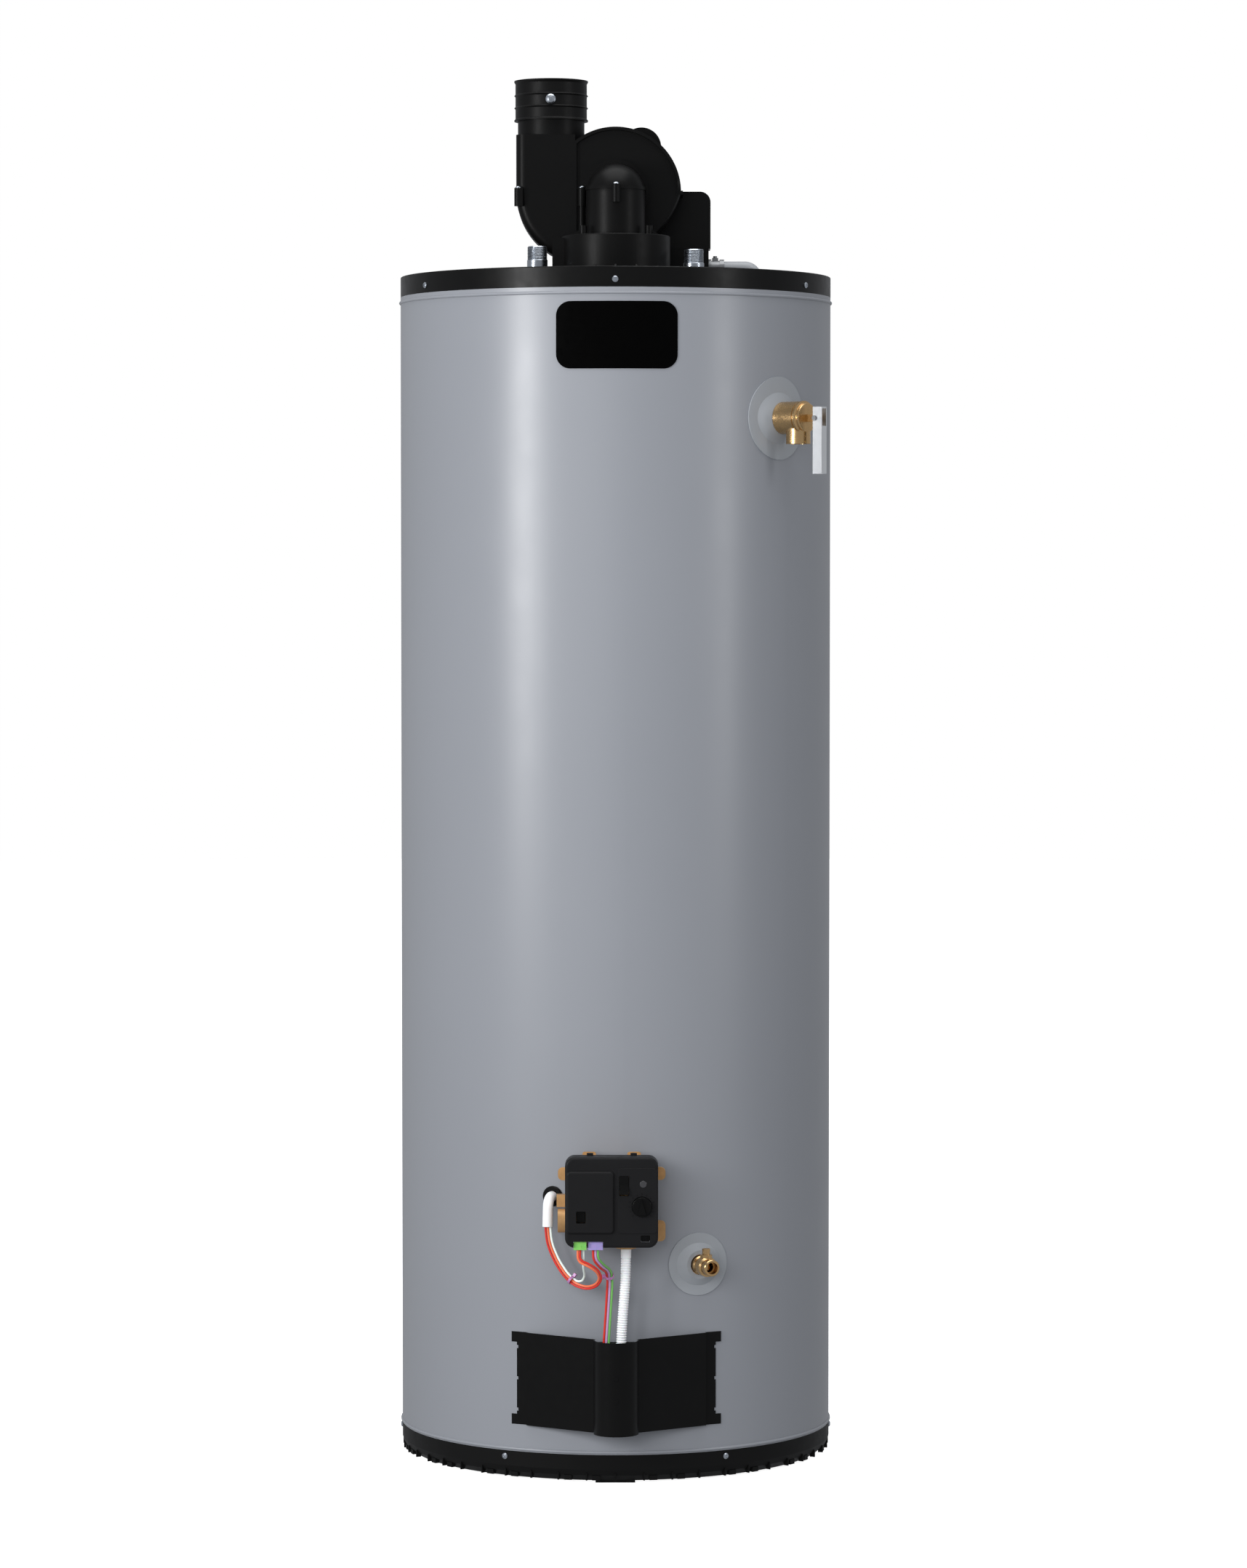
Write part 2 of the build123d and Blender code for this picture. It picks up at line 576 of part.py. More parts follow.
def drain_valve_body():
    reach = DRAIN_REACH
    shank = rod(PIPE_RADIUS, TANK_INSIDE - JACKET_RADIUS - 6, 4)
    body = turned((0, 3), (12, 3), (12, 12), (10.5, 14), (10.5, 19), (12.5, 21), (12.5, 31),
                  (10.4, 33), (10.4, reach - 1), (9.6, reach), (0, reach))
    boss = Rot(-90, 0, 0) * rod(7.5, 0, 15)
    valve = shank + body + Pos(0, 0, 25.5) * boss
    valve -= rod(6.5, TANK_INSIDE - JACKET_RADIUS - 7, reach - 12)
    valve -= rod(7.5, reach - 12, reach + 1)
    stem_bore = Rot(-90, 0, 0) * rod(DRAIN_STEM + RUN_GAP, -6, 30)
    return drain_place() * (valve - Pos(0, 0, 25.5) * stem_bore)


def drain_stem():
    stem = rod(DRAIN_STEM, -4.0, 22.5) - block((-6, 6), (-0.7, 0.7), (20, 24))
    stem -= Rot(0, 90, 0) * rod(3.2, -6, 6)
    return drain_place() * Pos(0, 0, 25.5) * Rot(-90, 0, 0) * stem


# -------------------------------------------------------------- gas control
def rounded_slab(width, tall, corner, back, front, x=CONTROL_X, z=CONTROL_Z):
    """A slab with rounded corners seen from the front, between two Y values."""
    face = Plane.XZ * (Pos(x, z) * RectangleRounded(width, tall, corner))
    return Pos(0, back, 0) * extrude(face, back - front)


def gas_control_casting():
    back = FRONT - CASTING_GAP
    body = rounded_slab(CONTROL_WIDTH - 9, CONTROL_TALL - 14, 8, back - 6, CASTING_FACE)
    shank = along_y(PIPE_RADIUS, back - 7, -(TANK_INSIDE - 6), CONTROL_X, CONTROL_Z)
    nut = Pos(CONTROL_X, back - 6, CONTROL_Z) * Rot(-90, 0, 0) * hexagon(38, 0, 9)
    probe = along_y(5.0, -(TANK_INSIDE - 7), -90, CONTROL_X, CONTROL_Z)
    casting = body + shank + nut + probe
    left, right = CONTROL_LEFT, CONTROL_RIGHT
    tab_back, tab_front = back - 9, back - 14
    for x in (-32.6, 23.6):
        casting += rounded_slab(17, 26, 3, tab_back, tab_front, x, CONTROL_TOP - 13)
    for x, z, tall in ((left, 394.5, 16), (right, 395, 16), (right, 323, 26)):
        casting += rounded_slab(19, tall, 6, tab_back, tab_front, x, z)
    casting += block((left - 11, left + 12), (back - 22, back - 8), (354, 369))
    port = along_x(14.8, left - 9.5, left + 14, back - 22, GAS_PORT_Z)
    casting += port & block((left - 30, 0), (back - 38, back - 7), (300, 400))
    casting -= along_x(GAS_PORT_RADIUS, left - 12, left + 8, back - 22, GAS_PORT_Z)
    outlet = Pos(TUBE_TOP[0], TUBE_TOP[1], CONTROL_BOTTOM - 6) * hexagon(22, 0, 14)
    foot = block((-15, 26), (TUBE_TOP[1] - 12, TUBE_TOP[1] + 12),
                 (CONTROL_BOTTOM - 3.5, CONTROL_BOTTOM + 8))
    casting += outlet + foot
    casting -= rod(GAS_TUBE, CONTROL_BOTTOM - 8, CONTROL_BOTTOM + 4, TUBE_TOP[0], TUBE_TOP[1])
    casting -= along_y(DIAL_SHAFT + RUN_GAP, CASTING_FACE - 1, CASTING_FACE + 10, DIAL_X, DIAL_Z)
    return casting


def face_cut(width, tall, corner, x, z, depth):
    """A rounded cut through the cover's face."""
    return rounded_slab(width, tall, corner, CONTROL_FACE + depth, CONTROL_FACE - 12, x, z)


def cover_panel(left, right, top, step):
    """One raised panel on the cover's face, with soft edges."""
    width, tall = right - left, top - PANEL_LOW
    panel = rounded_slab(width, tall, 5, CONTROL_FACE + 2, CONTROL_FACE - step,
                         (left + right) / 2, PANEL_LOW + tall / 2)
    return fillet(panel.faces().sort_by(Axis.Y)[0].edges(), step * 0.75)


def cover_openings():
    """What is cut through the cover's face and its lower edge."""
    face, low = CONTROL_FACE, CONTROL_BOTTOM
    cuts = [
        face_cut(SWITCH_WIDE + 0.8, SWITCH_TALL + 0.8, 1.5, SWITCH_X, SWITCH_Z, 10),
        face_cut(2 * DIAL_RADIUS + 1, 2 * DIAL_RADIUS + 1, DIAL_RADIUS + 0.4, DIAL_X, DIAL_Z, 1.2),
        along_y(DIAL_SHAFT + 0.5, face - 5, face + 5, DIAL_X, DIAL_Z),
        along_y(LENS_RADIUS, face - 5, face + 5, LENS_X, LENS_Z),
        face_cut(11.8, 15.0, 1.5, -42.5, 348.0, 10),
        face_cut(11.2, 8.5, 1.0, 37.4, 320.8, 10),
    ]
    for x, width in ((GREEN_X, GREEN_WIDE), (LILAC_X, LILAC_WIDE)):
        cuts.append(block((x - width / 2 - 0.4, x + width / 2 + 0.4),
                          (face - 5, PLUG_FRONT + PLUG_DEEP + 0.4), (low - 2, low + PLUG_IN + 0.4)))
    return cuts


def gas_control_cover():
    face, wall = CONTROL_FACE, COVER_WALL
    back = face + COVER_DEEP
    shell = rounded_slab(CONTROL_WIDTH, CONTROL_TALL, COVER_CORNER, back, face)
    shell = fillet(shell.faces().sort_by(Axis.Y)[0].edges(), 3.5)
    shell += cover_panel(CONTROL_LEFT + 1.5, PANEL_SPLIT - 2.5, 405.0, LEFT_STEP)
    shell += cover_panel(PANEL_SPLIT + 2.0, CONTROL_RIGHT - 1.5, 409.0, RIGHT_STEP)
    for x in (-31.4, 23.0):
        shell += block((x - 4, x + 4), (back - 6, back), (CONTROL_TOP - 1, CONTROL_TOP + 2.6))
    shell -= rounded_slab(CONTROL_WIDTH - 2 * wall, CONTROL_TALL - 2 * wall,
                          COVER_CORNER - wall, back + 1, face + wall)
    for opening in cover_openings():
        shell -= opening
    for side in (-1, 1):
        x = SWITCH_X + side * (SWITCH_WIDE / 2 + 1.4)
        shell += block((x - 0.9, x + 0.9), (face + wall - 0.2, face + 10),
                       (SWITCH_Z - 5, SWITCH_Z + 5))
    return shell - along_x(1.5 + RUN_GAP, SWITCH_X - 12, SWITCH_X + 12, face + 5, SWITCH_Z)


def plug(x, width):
    """A keyed plug under the control's front edge."""
    body = block((x - width / 2, x + width / 2), (PLUG_FRONT, PLUG_FRONT + PLUG_DEEP),
                 (CONTROL_BOTTOM - PLUG_OUT, CONTROL_BOTTOM + PLUG_IN))
    rib = block((x - 1.5, x + 1.5), (PLUG_FRONT - 0.35, PLUG_FRONT + 1),
                (CONTROL_BOTTOM - PLUG_OUT, CONTROL_BOTTOM + PLUG_IN - 3))
    return body + rib


def temperature_dial():
    knob = along_y(DIAL_RADIUS, CONTROL_FACE + 0.6, CONTROL_FACE - 6, DIAL_X, DIAL_Z)
    knob = fillet(knob.faces().sort_by(Axis.Y)[0].edges(), 1.2)
    grip = Pos(DIAL_X, CONTROL_FACE - 5, DIAL_Z) * Rot(90, 0, 0) * (
        extrude(make_face(Polyline((-5, -9), (5, -9), (0, 9.5), close=True)), 4.5))
    shaft = along_y(DIAL_SHAFT, CONTROL_FACE - 1, CASTING_FACE + 8, DIAL_X, DIAL_Z)
    return knob + grip + shaft


def power_switch():
    """A rocker whose two pads meet in a shallow valley, with its upper end pressed in."""
    half, wide, axis = SWITCH_TALL / 2 - 0.6, SWITCH_WIDE / 2, 5.0
    ridge = axis + 2.2
    outline = Polyline((0, ridge - 0.6), (half, ridge + 1.8), (half - 1.0, -1.5), (-half + 1.0, -1.5),
                       (-half, ridge + 1.8), close=True)
    section = Plane(origin=(0, 0, 0), x_dir=(0, 0, 1), z_dir=(1, 0, 0)) * make_face(outline)
    body = Pos(-wide, 0, 0) * extrude(section, 2 * wide)
    trunnion = Rot(0, 90, 0) * Cylinder(1.5, SWITCH_WIDE + 4.0)
    rocker = Rot(-SWITCH_TILT, 0, 0) * (body + trunnion)
    return Pos(SWITCH_X, CONTROL_FACE + axis, SWITCH_Z) * rocker


def status_lens():
    lens = along_y(LENS_RADIUS, CONTROL_FACE + COVER_WALL + 2, CONTROL_FACE - 1.6, LENS_X, LENS_Z)
    return fillet(lens.faces().sort_by(Axis.Y)[0].edges(), 0.7)


# ------------------------------------------------------------- sensor leads
def boot_points():
    start = outward(GROMMET_ANGLE, GROMMET_Z).position
    out = Vector(sin(radians(GROMMET_ANGLE)), -cos(radians(GROMMET_ANGLE)), 0)
    first = start - out * 8
    bend = start + out * 20
    return [tuple(first), tuple(bend), (bend.X - 0.8, bend.Y - 2, bend.Z - 36)]


def sensor_boot():
    """A soft elbow boot, hollow at its mouth where the leads come out."""
    boot = cord_along("sensor_boot", boot_points(), BOOT_RADIUS, 15.0)
    start, end = Vector(*boot_points()[-2]), Vector(*boot_points()[-1])
    mouth = Plane(origin=end, z_dir=start - end).location
    return boot - mouth * rod(LEAD_GAP + LEAD + 0.4, -1, BOOT_MOUTH + 2)


def sensor_grommet():
    place = outward(GROMMET_ANGLE, GROMMET_Z)
    ring = place * (turned((BOOT_RADIUS, -3), (BOOT_RADIUS + 1.5, -3), (BOOT_RADIUS + 1.5, -1.2),
                           (12.7, -1.2), (12.7, 2.0), (11.5, 3.2), (BOOT_RADIUS, 3.2)))
    return ring - (rod(JACKET_RADIUS, 300, 420) - place * rod(BOOT_RADIUS + 1.5, -20, 5))


def beside(points, shift):
    """The same route set aside to the left of its way, seen from the front."""
    moved = []
    for index, (x, y, z) in enumerate(points):
        before = points[max(index - 1, 0)]
        after = points[min(index + 1, len(points) - 1)]
        dx, dz = after[0] - before[0], after[2] - before[2]
        length = hypot(dx, dz)
        if length > 1.0:
            aside = (shift * dz / length, -shift * dx / length)
        moved.append((x + aside[0], y, z + aside[1]))
    return moved


def sensor_loop():
    """The red and orange leads hang in one loop between the boot and the green plug."""
    x, y, z = boot_points()[-1]
    deep = PLUG_FRONT + 4
    end = GREEN_X - 2.8
    return [
        (x, y, z + BOOT_MOUTH), (x + 2.0, y - 2, z - 20), (x + 12.0, y - 7, z - 43),
        (x + 24.0, y - 14, z - 60), (x + 36.0, y - 21, z - 69), (x + 49.0, y - 28, z - 72),
        (x + 60.0, y - 37, z - 68), (x + 65.5, y - 47, z - 59), (x + 62.0, y - 56, z - 49),
        (x + 51.0, deep, z - 41), (end, deep, PLUG_LOW - 15), (end, deep, PLUG_LOW),
    ]


def white_loop():
    """The white lead leaves the bundle after its tie and turns up sooner."""
    deep = PLUG_FRONT + 8.6
    bundle = beside(sensor_loop(), -LEAD_GAP)
    x, y, z = bundle[4]
    end = GREEN_X + 4.4
    return bundle[:5] + [
        (x + 6.5, y - 4, z + 1.5), (x + 9.5, y - 12, z + 9.0), (end - 0.4, deep + 9, PLUG_LOW - 24),
        (end, deep, PLUG_LOW - 11), (end, deep, PLUG_LOW),
    ]


def pilot_loop():
    """The pilot leads run from the lilac plug through a tie and down into the door's duct."""
    deep, drop = PLUG_FRONT + 6, FRONT - 36.0
    z = CONTROL_BOTTOM
    return [
        (LILAC_X, deep, PLUG_LOW), (LILAC_X, deep, z - 15), (LILAC_X + 8.5, deep + 8, z - 26),
        (-8.0, drop - 13, z - 33), (-6.5, drop - 2, z - 47), (-8.0, drop, z - 75),
        (-10.5, drop - 0.5, z - 112), (LEAD_DROP_X - 0.5, drop, z - 146),
        (LEAD_DROP_X, drop + 10, z - 170), (LEAD_DROP_X, drop + 34, z - 183),
        (LEAD_DROP_X, -(TANK_RADIUS + 2.0), z - 183),
    ]


def sensor_lead(name, points):
    return cord_along(name, points, LEAD)


def pilot_lead(name, shift):
    """The leads lie side by side where they go in at the inner door."""
    points = beside(pilot_loop(), shift)
    for index in (-3, -2, -1):
        x, y, z = pilot_loop()[index]
        points[index] = (x - shift, y, z)
    return cord_along(name, points, LEAD)


def tie_place(points, index):
    """Across a bundle, in the middle of one of its runs."""
    start, end = Vector(*points[index]), Vector(*points[index + 1])
    return Plane(origin=(start + end) / 2, x_dir=(end - start).cross(Vector(0, 1, 0)),
                 z_dir=end - start).location


def harness_ties():
    """Two cable ties: a band round the leads and a small square head."""
    inside = LEAD_GAP + LEAD + 0.2
    band = Cylinder(inside + 1.0, 3.0) - Cylinder(inside, 4.0)
    tie = band + Pos(inside + 2.6, 0, 0) * Box(4.4, 4.4, 3.6)
    return [tie_place(sensor_loop(), 3) * tie, tie_place(pilot_loop(), 3) * Rot(0, 0, 180) * tie]


def gas_tube_points():
    x, y = TUBE_TOP
    return [
        (x, y, CONTROL_BOTTOM + 4), (x, y, CONTROL_BOTTOM - 40),
        (x - 5.0, y - 1, CONTROL_BOTTOM - 100), (x - 6.5, y, CONTROL_BOTTOM - 140),
        (x - 8.0, y + 12, CONTROL_BOTTOM - 168), (x - 12.3, y + 40, CONTROL_BOTTOM - 180.5),
        (x - 12.3, -(TANK_RADIUS + 12.0), CONTROL_BOTTOM - 180.5),
    ]


def gas_tube():
    return cord_along("gas_tube", gas_tube_points(), GAS_TUBE, 60.0)


# ---------------------------------------------------------------- the burner
def arch(inner, outer, half, low, high):
    """Part of a round shell that stands in front of the tank's skirt."""
    shell = pipe(outer, inner, low, high)
    return shell & block((DOOR_X - half, DOOR_X + half), (FRONT, -inner / 2), (low, high))


def door_gasket():
    ring = arch(TANK_RADIUS, TANK_RADIUS + 2.6, 92, DOOR_LOW + 6, DOOR_HIGH - 6)
    return ring - door_window(80, 16, 120)


def burner_door_inner():
    plate = arch(TANK_RADIUS + 2.6, TANK_RADIUS + 4.0, 92, DOOR_LOW + 6, DOOR_HIGH - 6)
    end = gas_tube_points()[-1]
    plate -= along_y(GAS_TUBE, -TANK_RADIUS, FRONT, end[0], end[2])
    for dx in LEAD_OFFSETS:
        plate -= along_y(LEAD, -TANK_RADIUS, FRONT, LEAD_DROP_X + dx, CONTROL_BOTTOM - 183)
    return plate


def door_profile():
    """The outer door seen from above: two flat wings and a round duct between them."""
    rim = JACKET_RADIUS + DOOR_SHEET / 2 + FIT
    def on_rim(x):
        return (x, -sqrt(rim**2 - x**2))
    wing = FRONT - WING_REACH
    front = FRONT - DUCT_REACH
    half = DUCT_HALF
    edge = (DOOR_EDGE, on_rim(DOOR_EDGE)[1] - 5.0)
    line = Polyline(on_rim(DOOR_TAB), on_rim((DOOR_TAB + DOOR_EDGE) / 2), on_rim(DOOR_EDGE),
                    edge, (half, wing))
    line += ThreePointArc((half, wing), (0, front), (-half, wing))
    line += Polyline((-half, wing), (-edge[0], edge[1]), on_rim(-DOOR_EDGE),
                     on_rim(-(DOOR_TAB + DOOR_EDGE) / 2), on_rim(-DOOR_TAB))
    return line


def burner_door_outer():
    door = Pos(DOOR_X, 0, DOOR_LOW) * extrude(trace(door_profile(), DOOR_SHEET),
                                              DOOR_HIGH - DOOR_LOW)
    tab = 13.0
    for side in (-1, 1):
        inner, outer = DOOR_TAB - 6.5, DOOR_TAB + 4
        x = sorted((DOOR_X + side * inner, DOOR_X + side * outer))
        door -= block(x, (FRONT, -200), (DOOR_LOW + tab, DOOR_HIGH - tab))
        notch = sorted((DOOR_X + side * (inner - 1.8), DOOR_X + side * outer))
        for z in (DOOR_LOW + tab + 6, (DOOR_LOW + DOOR_HIGH) / 2, DOOR_HIGH - tab - 6):
            door -= block(notch, (FRONT, -200), (z - 2, z + 2))
    for z in DIMPLES:
        dimple = along_y(2.6, FRONT - DUCT_REACH + 0.4, FRONT - DUCT_REACH - 1.3, DOOR_X, z)
        door += dimple
    return door - pipe(JACKET_RADIUS + FIT / 2, 50, DOOR_LOW - 5, DOOR_HIGH + 5)


def burner():
    bowl = turned((30, BURNER_Z - 20), (BURNER_RADIUS - 12, BURNER_Z - 8), (BURNER_RADIUS, BURNER_Z),
                  (BURNER_RADIUS, BURNER_Z + 6), (18, BURNER_Z + 12), (18, BURNER_Z + 9),
                  (BURNER_RADIUS - 4, BURNER_Z + 3), (BURNER_RADIUS - 14, BURNER_Z - 5),
                  (30, BURNER_Z - 17))
    mixer = pipe(30, 27.5, BURNER_Z - 50, BURNER_Z - 17)
    ports = Compound(children=[
        Rot(0, 0, 15 * step) * Pos(BURNER_RADIUS - 22, 0, BURNER_Z - 2) * Cylinder(3, 24)
        for step in range(24)
    ])
    legs = Compound(children=[
        Rot(0, 0, 120 * step + 30) * block((26, 30), (-8, 8), (FOOT_HEIGHT + PAN_WALL, BURNER_Z - 42))
        for step in range(3)
    ])
    end = gas_tube_points()[-1]
    return bowl + mixer + legs - ports - along_y(MANIFOLD, -20, -40, end[0], end[2])


def burner_manifold():
    end = gas_tube_points()[-1]
    tube = along_y(MANIFOLD, end[1], -22, end[0], end[2])
    tube -= along_y(MANIFOLD - 1.8, end[1] - 1, -24, end[0], end[2])
    stop = Pos(end[0], -14, end[2]) * Rot(90, 0, 0) * hexagon(15, 0, 12)
    nozzle = stop - along_y(1.3, -20, -10, end[0], end[2])
    return tube + nozzle


def pilot_assembly():
    z = CONTROL_BOTTOM - 183
    y = -(TANK_RADIUS + 4.0) + 2
    x = (LEAD_DROP_X - 6, LEAD_DROP_X + 6)
    holder = block(x, (y, y + 90), (z - 4, z - 2))
    rods = [along_y(LEAD - 0.1, y + 78, y, LEAD_DROP_X + dx, z) for dx in LEAD_OFFSETS]
    head = block(x, (y + 76, y + 90), (z - 2.5, BURNER_Z + 10))
    return holder + head + rods


# ---------------------------------------------------------------- the blower
def blower_collar():
    wall = HOUSING_WALL
    collar = pipe(COLLAR_RADIUS, COLLAR_RADIUS - wall, BODY_HEIGHT, COLLAR_TOP)
    top = rod(COLLAR_RADIUS, COLLAR_TOP - wall, COLLAR_TOP)
    collar += top
    collar = fillet(collar.edges().filter_by(GeomType.CIRCLE).group_by(Axis.Z)[-1].sort_by(
        SortBy.LENGTH)[-1], 1.6)
    collar -= rod(ELBOW_RADIUS - wall, COLLAR_TOP - 10, COLLAR_TOP + 10, 0, ELBOW_Y)
    gusset = Plane.XZ * make_face(Polyline((0, 0), (13, 0), (0, 16), close=True))
    gusset = Pos(0, 1.2, 0) * extrude(gusset, 2.4)
    for angle in (-140, -112, -90, -68, -40, 40, 90, 140):
        collar += Rot(0, 0, angle) * Pos(COLLAR_RADIUS - 1, 0, BODY_HEIGHT) * gusset
    ear = block((-COLLAR_RADIUS - 11, -COLLAR_RADIUS + 12), (-24, -20),
                (BODY_HEIGHT, COLLAR_TOP - 3.5))
    collar += ear - rod(COLLAR_RADIUS - wall, BODY_HEIGHT, COLLAR_TOP)
    rib = Plane.XZ * make_face(Polyline((0, 0), (14, 0), (0, 11), close=True))
    rib = Pos(0, 1.2, 0) * extrude(rib, 2.4)
    for x in COLLAR_BOSSES:
        collar += rod(4.8, COLLAR_TOP - 1, COLLAR_TOP + 12, x, COLLAR_BOSS_Y)
        turn = 0 if x > 0 else 180
        collar += Pos(x, COLLAR_BOSS_Y, COLLAR_TOP - 0.5) * Rot(0, 0, turn) * rib
    return collar - scroll_solid(0) - blower_screw_holes()


def scroll_face(inset):
    """Outline of the fan scroll and its outlet duct, seen from the front."""
    small, big = SCROLL_RADIUS - inset, VOLUTE_RADIUS - inset
    left, right = DUCT_LEFT + inset, DUCT_RIGHT - inset
    volute_x = DUCT_LEFT + VOLUTE_RADIUS
    top = NECK_BASE_RISE - inset
    cutoff = sqrt(small**2 - right**2)
    across = small - volute_x
    bottom = (across**2 + big**2) / (2 * big)
    swing = atan2(across, bottom - big) / 2
    middle = (volute_x + bottom * sin(swing), -big + bottom * (1 - cos(swing)))
    half = sqrt(0.5)
    outline = Line((right, top), (right, cutoff))
    outline += ThreePointArc((right, cutoff), (small * half, small * half), (small, 0))
    outline += ThreePointArc((small, 0), middle, (volute_x, -big))
    outline += ThreePointArc((volute_x, -big), (volute_x - big * half, -big * half), (left, 0))
    outline += Polyline((left, 0), (left, top), (right, top))
    return Pos(0, AXIS_Z) * make_face(outline)


def scroll_solid(inset):
    depth = SCROLL_BACK - SCROLL_FRONT - 2 * inset
    solid = Pos(0, SCROLL_BACK - inset, 0) * extrude(Plane.XZ * scroll_face(inset), depth)
    left = DUCT_LEFT + inset
    upright = solid.edges().filter_by(Axis.Z).filter_by(
        lambda edge: abs(edge.center().X - left) < 0.01)
    solid = fillet(upright, DUCT_ROUND - inset)
    return solid


def elbow_solid(inset):
    """The inlet elbow: up from the collar, round a ball corner, back into the scroll."""
    radius = ELBOW_RADIUS - inset
    z = AXIS_Z - ELBOW_DROP
    elbow = rod(radius, COLLAR_TOP, z, 0, ELBOW_Y)
    elbow += Pos(0, ELBOW_Y, z) * Sphere(radius)
    elbow += along_y(radius, SCROLL_FRONT + 12, ELBOW_Y, 0, z)
    return elbow


def housing_outside():
    """Scroll, outlet duct, neck, inlet lip, elbow, joint band and screw bosses, all solid."""
    disc = along_y(SCROLL_RADIUS - 4, SCROLL_FRONT + DISC_RECESS, SCROLL_FRONT - 5, 0, AXIS_Z)
    recess = disc - block((-200, DUCT_RIGHT + 2), (-100, 100), (BODY_HEIGHT, NECK_BASE + 100))
    neck = rod(NECK_RADIUS, NECK_BASE - 9, COUPLING_LOW + NECK_INSERT, NECK_X, NECK_Y)
    lip = along_y(ELBOW_RADIUS + 5, SCROLL_FRONT + DISC_RECESS + 1, SCROLL_FRONT - 1, 0, AXIS_Z)
    band = elbow_solid(-1.2) & block((-60, 60), (-90, SCROLL_FRONT), (AXIS_Z, AXIS_Z + 4.5))
    bosses = [rod(BOSS_RADIUS, AXIS_Z - 18, AXIS_Z + 5.5, x, y) for x, y in BOSS_PLACES]
    x, y = BOSS_PLACES[0]
    tab = block((x, x + 6), (y - BOSS_RADIUS, y + BOSS_RADIUS), (AXIS_Z - 18, AXIS_Z + 5.5))
    flange = block((SCROLL_RADIUS - 6, SCROLL_RADIUS + 2.5), (SCROLL_FRONT + 4, SCROLL_BACK),
                   (AXIS_Z - 2.5, AXIS_Z + 2.5))
    return [scroll_solid(0) - recess, neck, lip, band, elbow_solid(0), tab, flange] + bosses


def housing_inside():
    """What hollows the housing: the fan's chamber, the duct, the neck, the elbow, the shaft hole."""
    wall = HOUSING_WALL
    disc = along_y(SCROLL_RADIUS - 3, SCROLL_FRONT + DISC_RECESS + wall, SCROLL_FRONT, 0, AXIS_Z)
    floor = disc - block((-200, DUCT_RIGHT + 2), (-100, 100), (BODY_HEIGHT, NECK_BASE + 100))
    neck = rod(NECK_RADIUS - wall, NECK_BASE - 5, COUPLING_LOW + 60, NECK_X, NECK_Y)
    shaft_hole = along_y(10.0, SCROLL_BACK + 5, SCROLL_BACK - 10, 0, AXIS_Z)
    return [scroll_solid(wall) - floor, neck, elbow_solid(wall), shaft_hole]


def housing_half(low, high):
    """The housing between two heights; its halves meet at the fan's axis."""
    region = block((-300, 300), (-300, 300), (low, high))
    pieces = [piece & region for piece in housing_outside()]
    pieces = [piece for piece in pieces if piece.solids()]
    half = pieces[0] + pieces[1:]
    return half - housing_inside() - blower_screw_holes()


def blower_screw_places():
    return [Pos(x, y, AXIS_Z + 5.55) for x, y in BOSS_PLACES]


def blower_screw_holes():
    hole = Pos(0, 0, -SCREW_LENGTH - 1) * Cylinder(SCREW_SHANK, SCREW_LENGTH + 2, align=STAND)
    return Compound(children=[place * hole for place in blower_screw_places()])


def blower_screws():
    return [place * pan_head_screw() for place in blower_screw_places()]


def blower_housing_upper():
    return housing_half(AXIS_Z, COUPLING_HIGH)


def blower_housing_lower():
    post = rod(4.0, COLLAR_TOP, AXIS_Z - 17, *BOSS_PLACES[2])
    return housing_half(BODY_HEIGHT, AXIS_Z) + post


def vent_coupling():
    low, high = COUPLING_LOW, COUPLING_HIGH
    rib, body = COUPLING_RIB, COUPLING_RADIUS
    stop = low + NECK_INSERT
    outline = [(NECK_RADIUS, low), (body + rib, low), (body + rib, low + 1.6), (body, low + 3.4)]
    for centre in (low + COUPLING_HEIGHT * 0.33, low + COUPLING_HEIGHT * 0.635):
        outline += [(body, centre - 1.6), (body + rib, centre), (body, centre + 1.6)]
    outline += [(body, high - 4.0), (body + rib, high - 1.6), (body + rib, high),
                (VENT_PIPE, high), (VENT_PIPE, stop + 1.5), (NECK_RADIUS - 1.0, stop + 1.5),
                (NECK_RADIUS - 1.0, stop), (NECK_RADIUS, stop)]
    sleeve = Pos(NECK_X, NECK_Y, 0) * turned(*outline)
    seat = NECK_Y - COUPLING_RADIUS + SCREW_SEAT
    sleeve -= along_y(7.2, seat, seat - 5, NECK_X, COUPLING_SCREW_Z)
    return sleeve - along_y(2.2, NECK_Y, NECK_Y - 60, NECK_X, COUPLING_SCREW_Z)


def coupling_screw():
    head = turned((0, 0), (6.9, 0), (6.4, 1.6), (4.6, 3.0), (2.2, 3.7), (0, 3.9))
    screw = head + rod(2.2, VENT_PIPE - COUPLING_RADIUS + 0.3, 0.2)
    seat = NECK_Y - COUPLING_RADIUS + SCREW_SEAT - 0.02
    return Pos(NECK_X, seat, COUPLING_SCREW_Z) * Rot(90, 0, 0) * screw


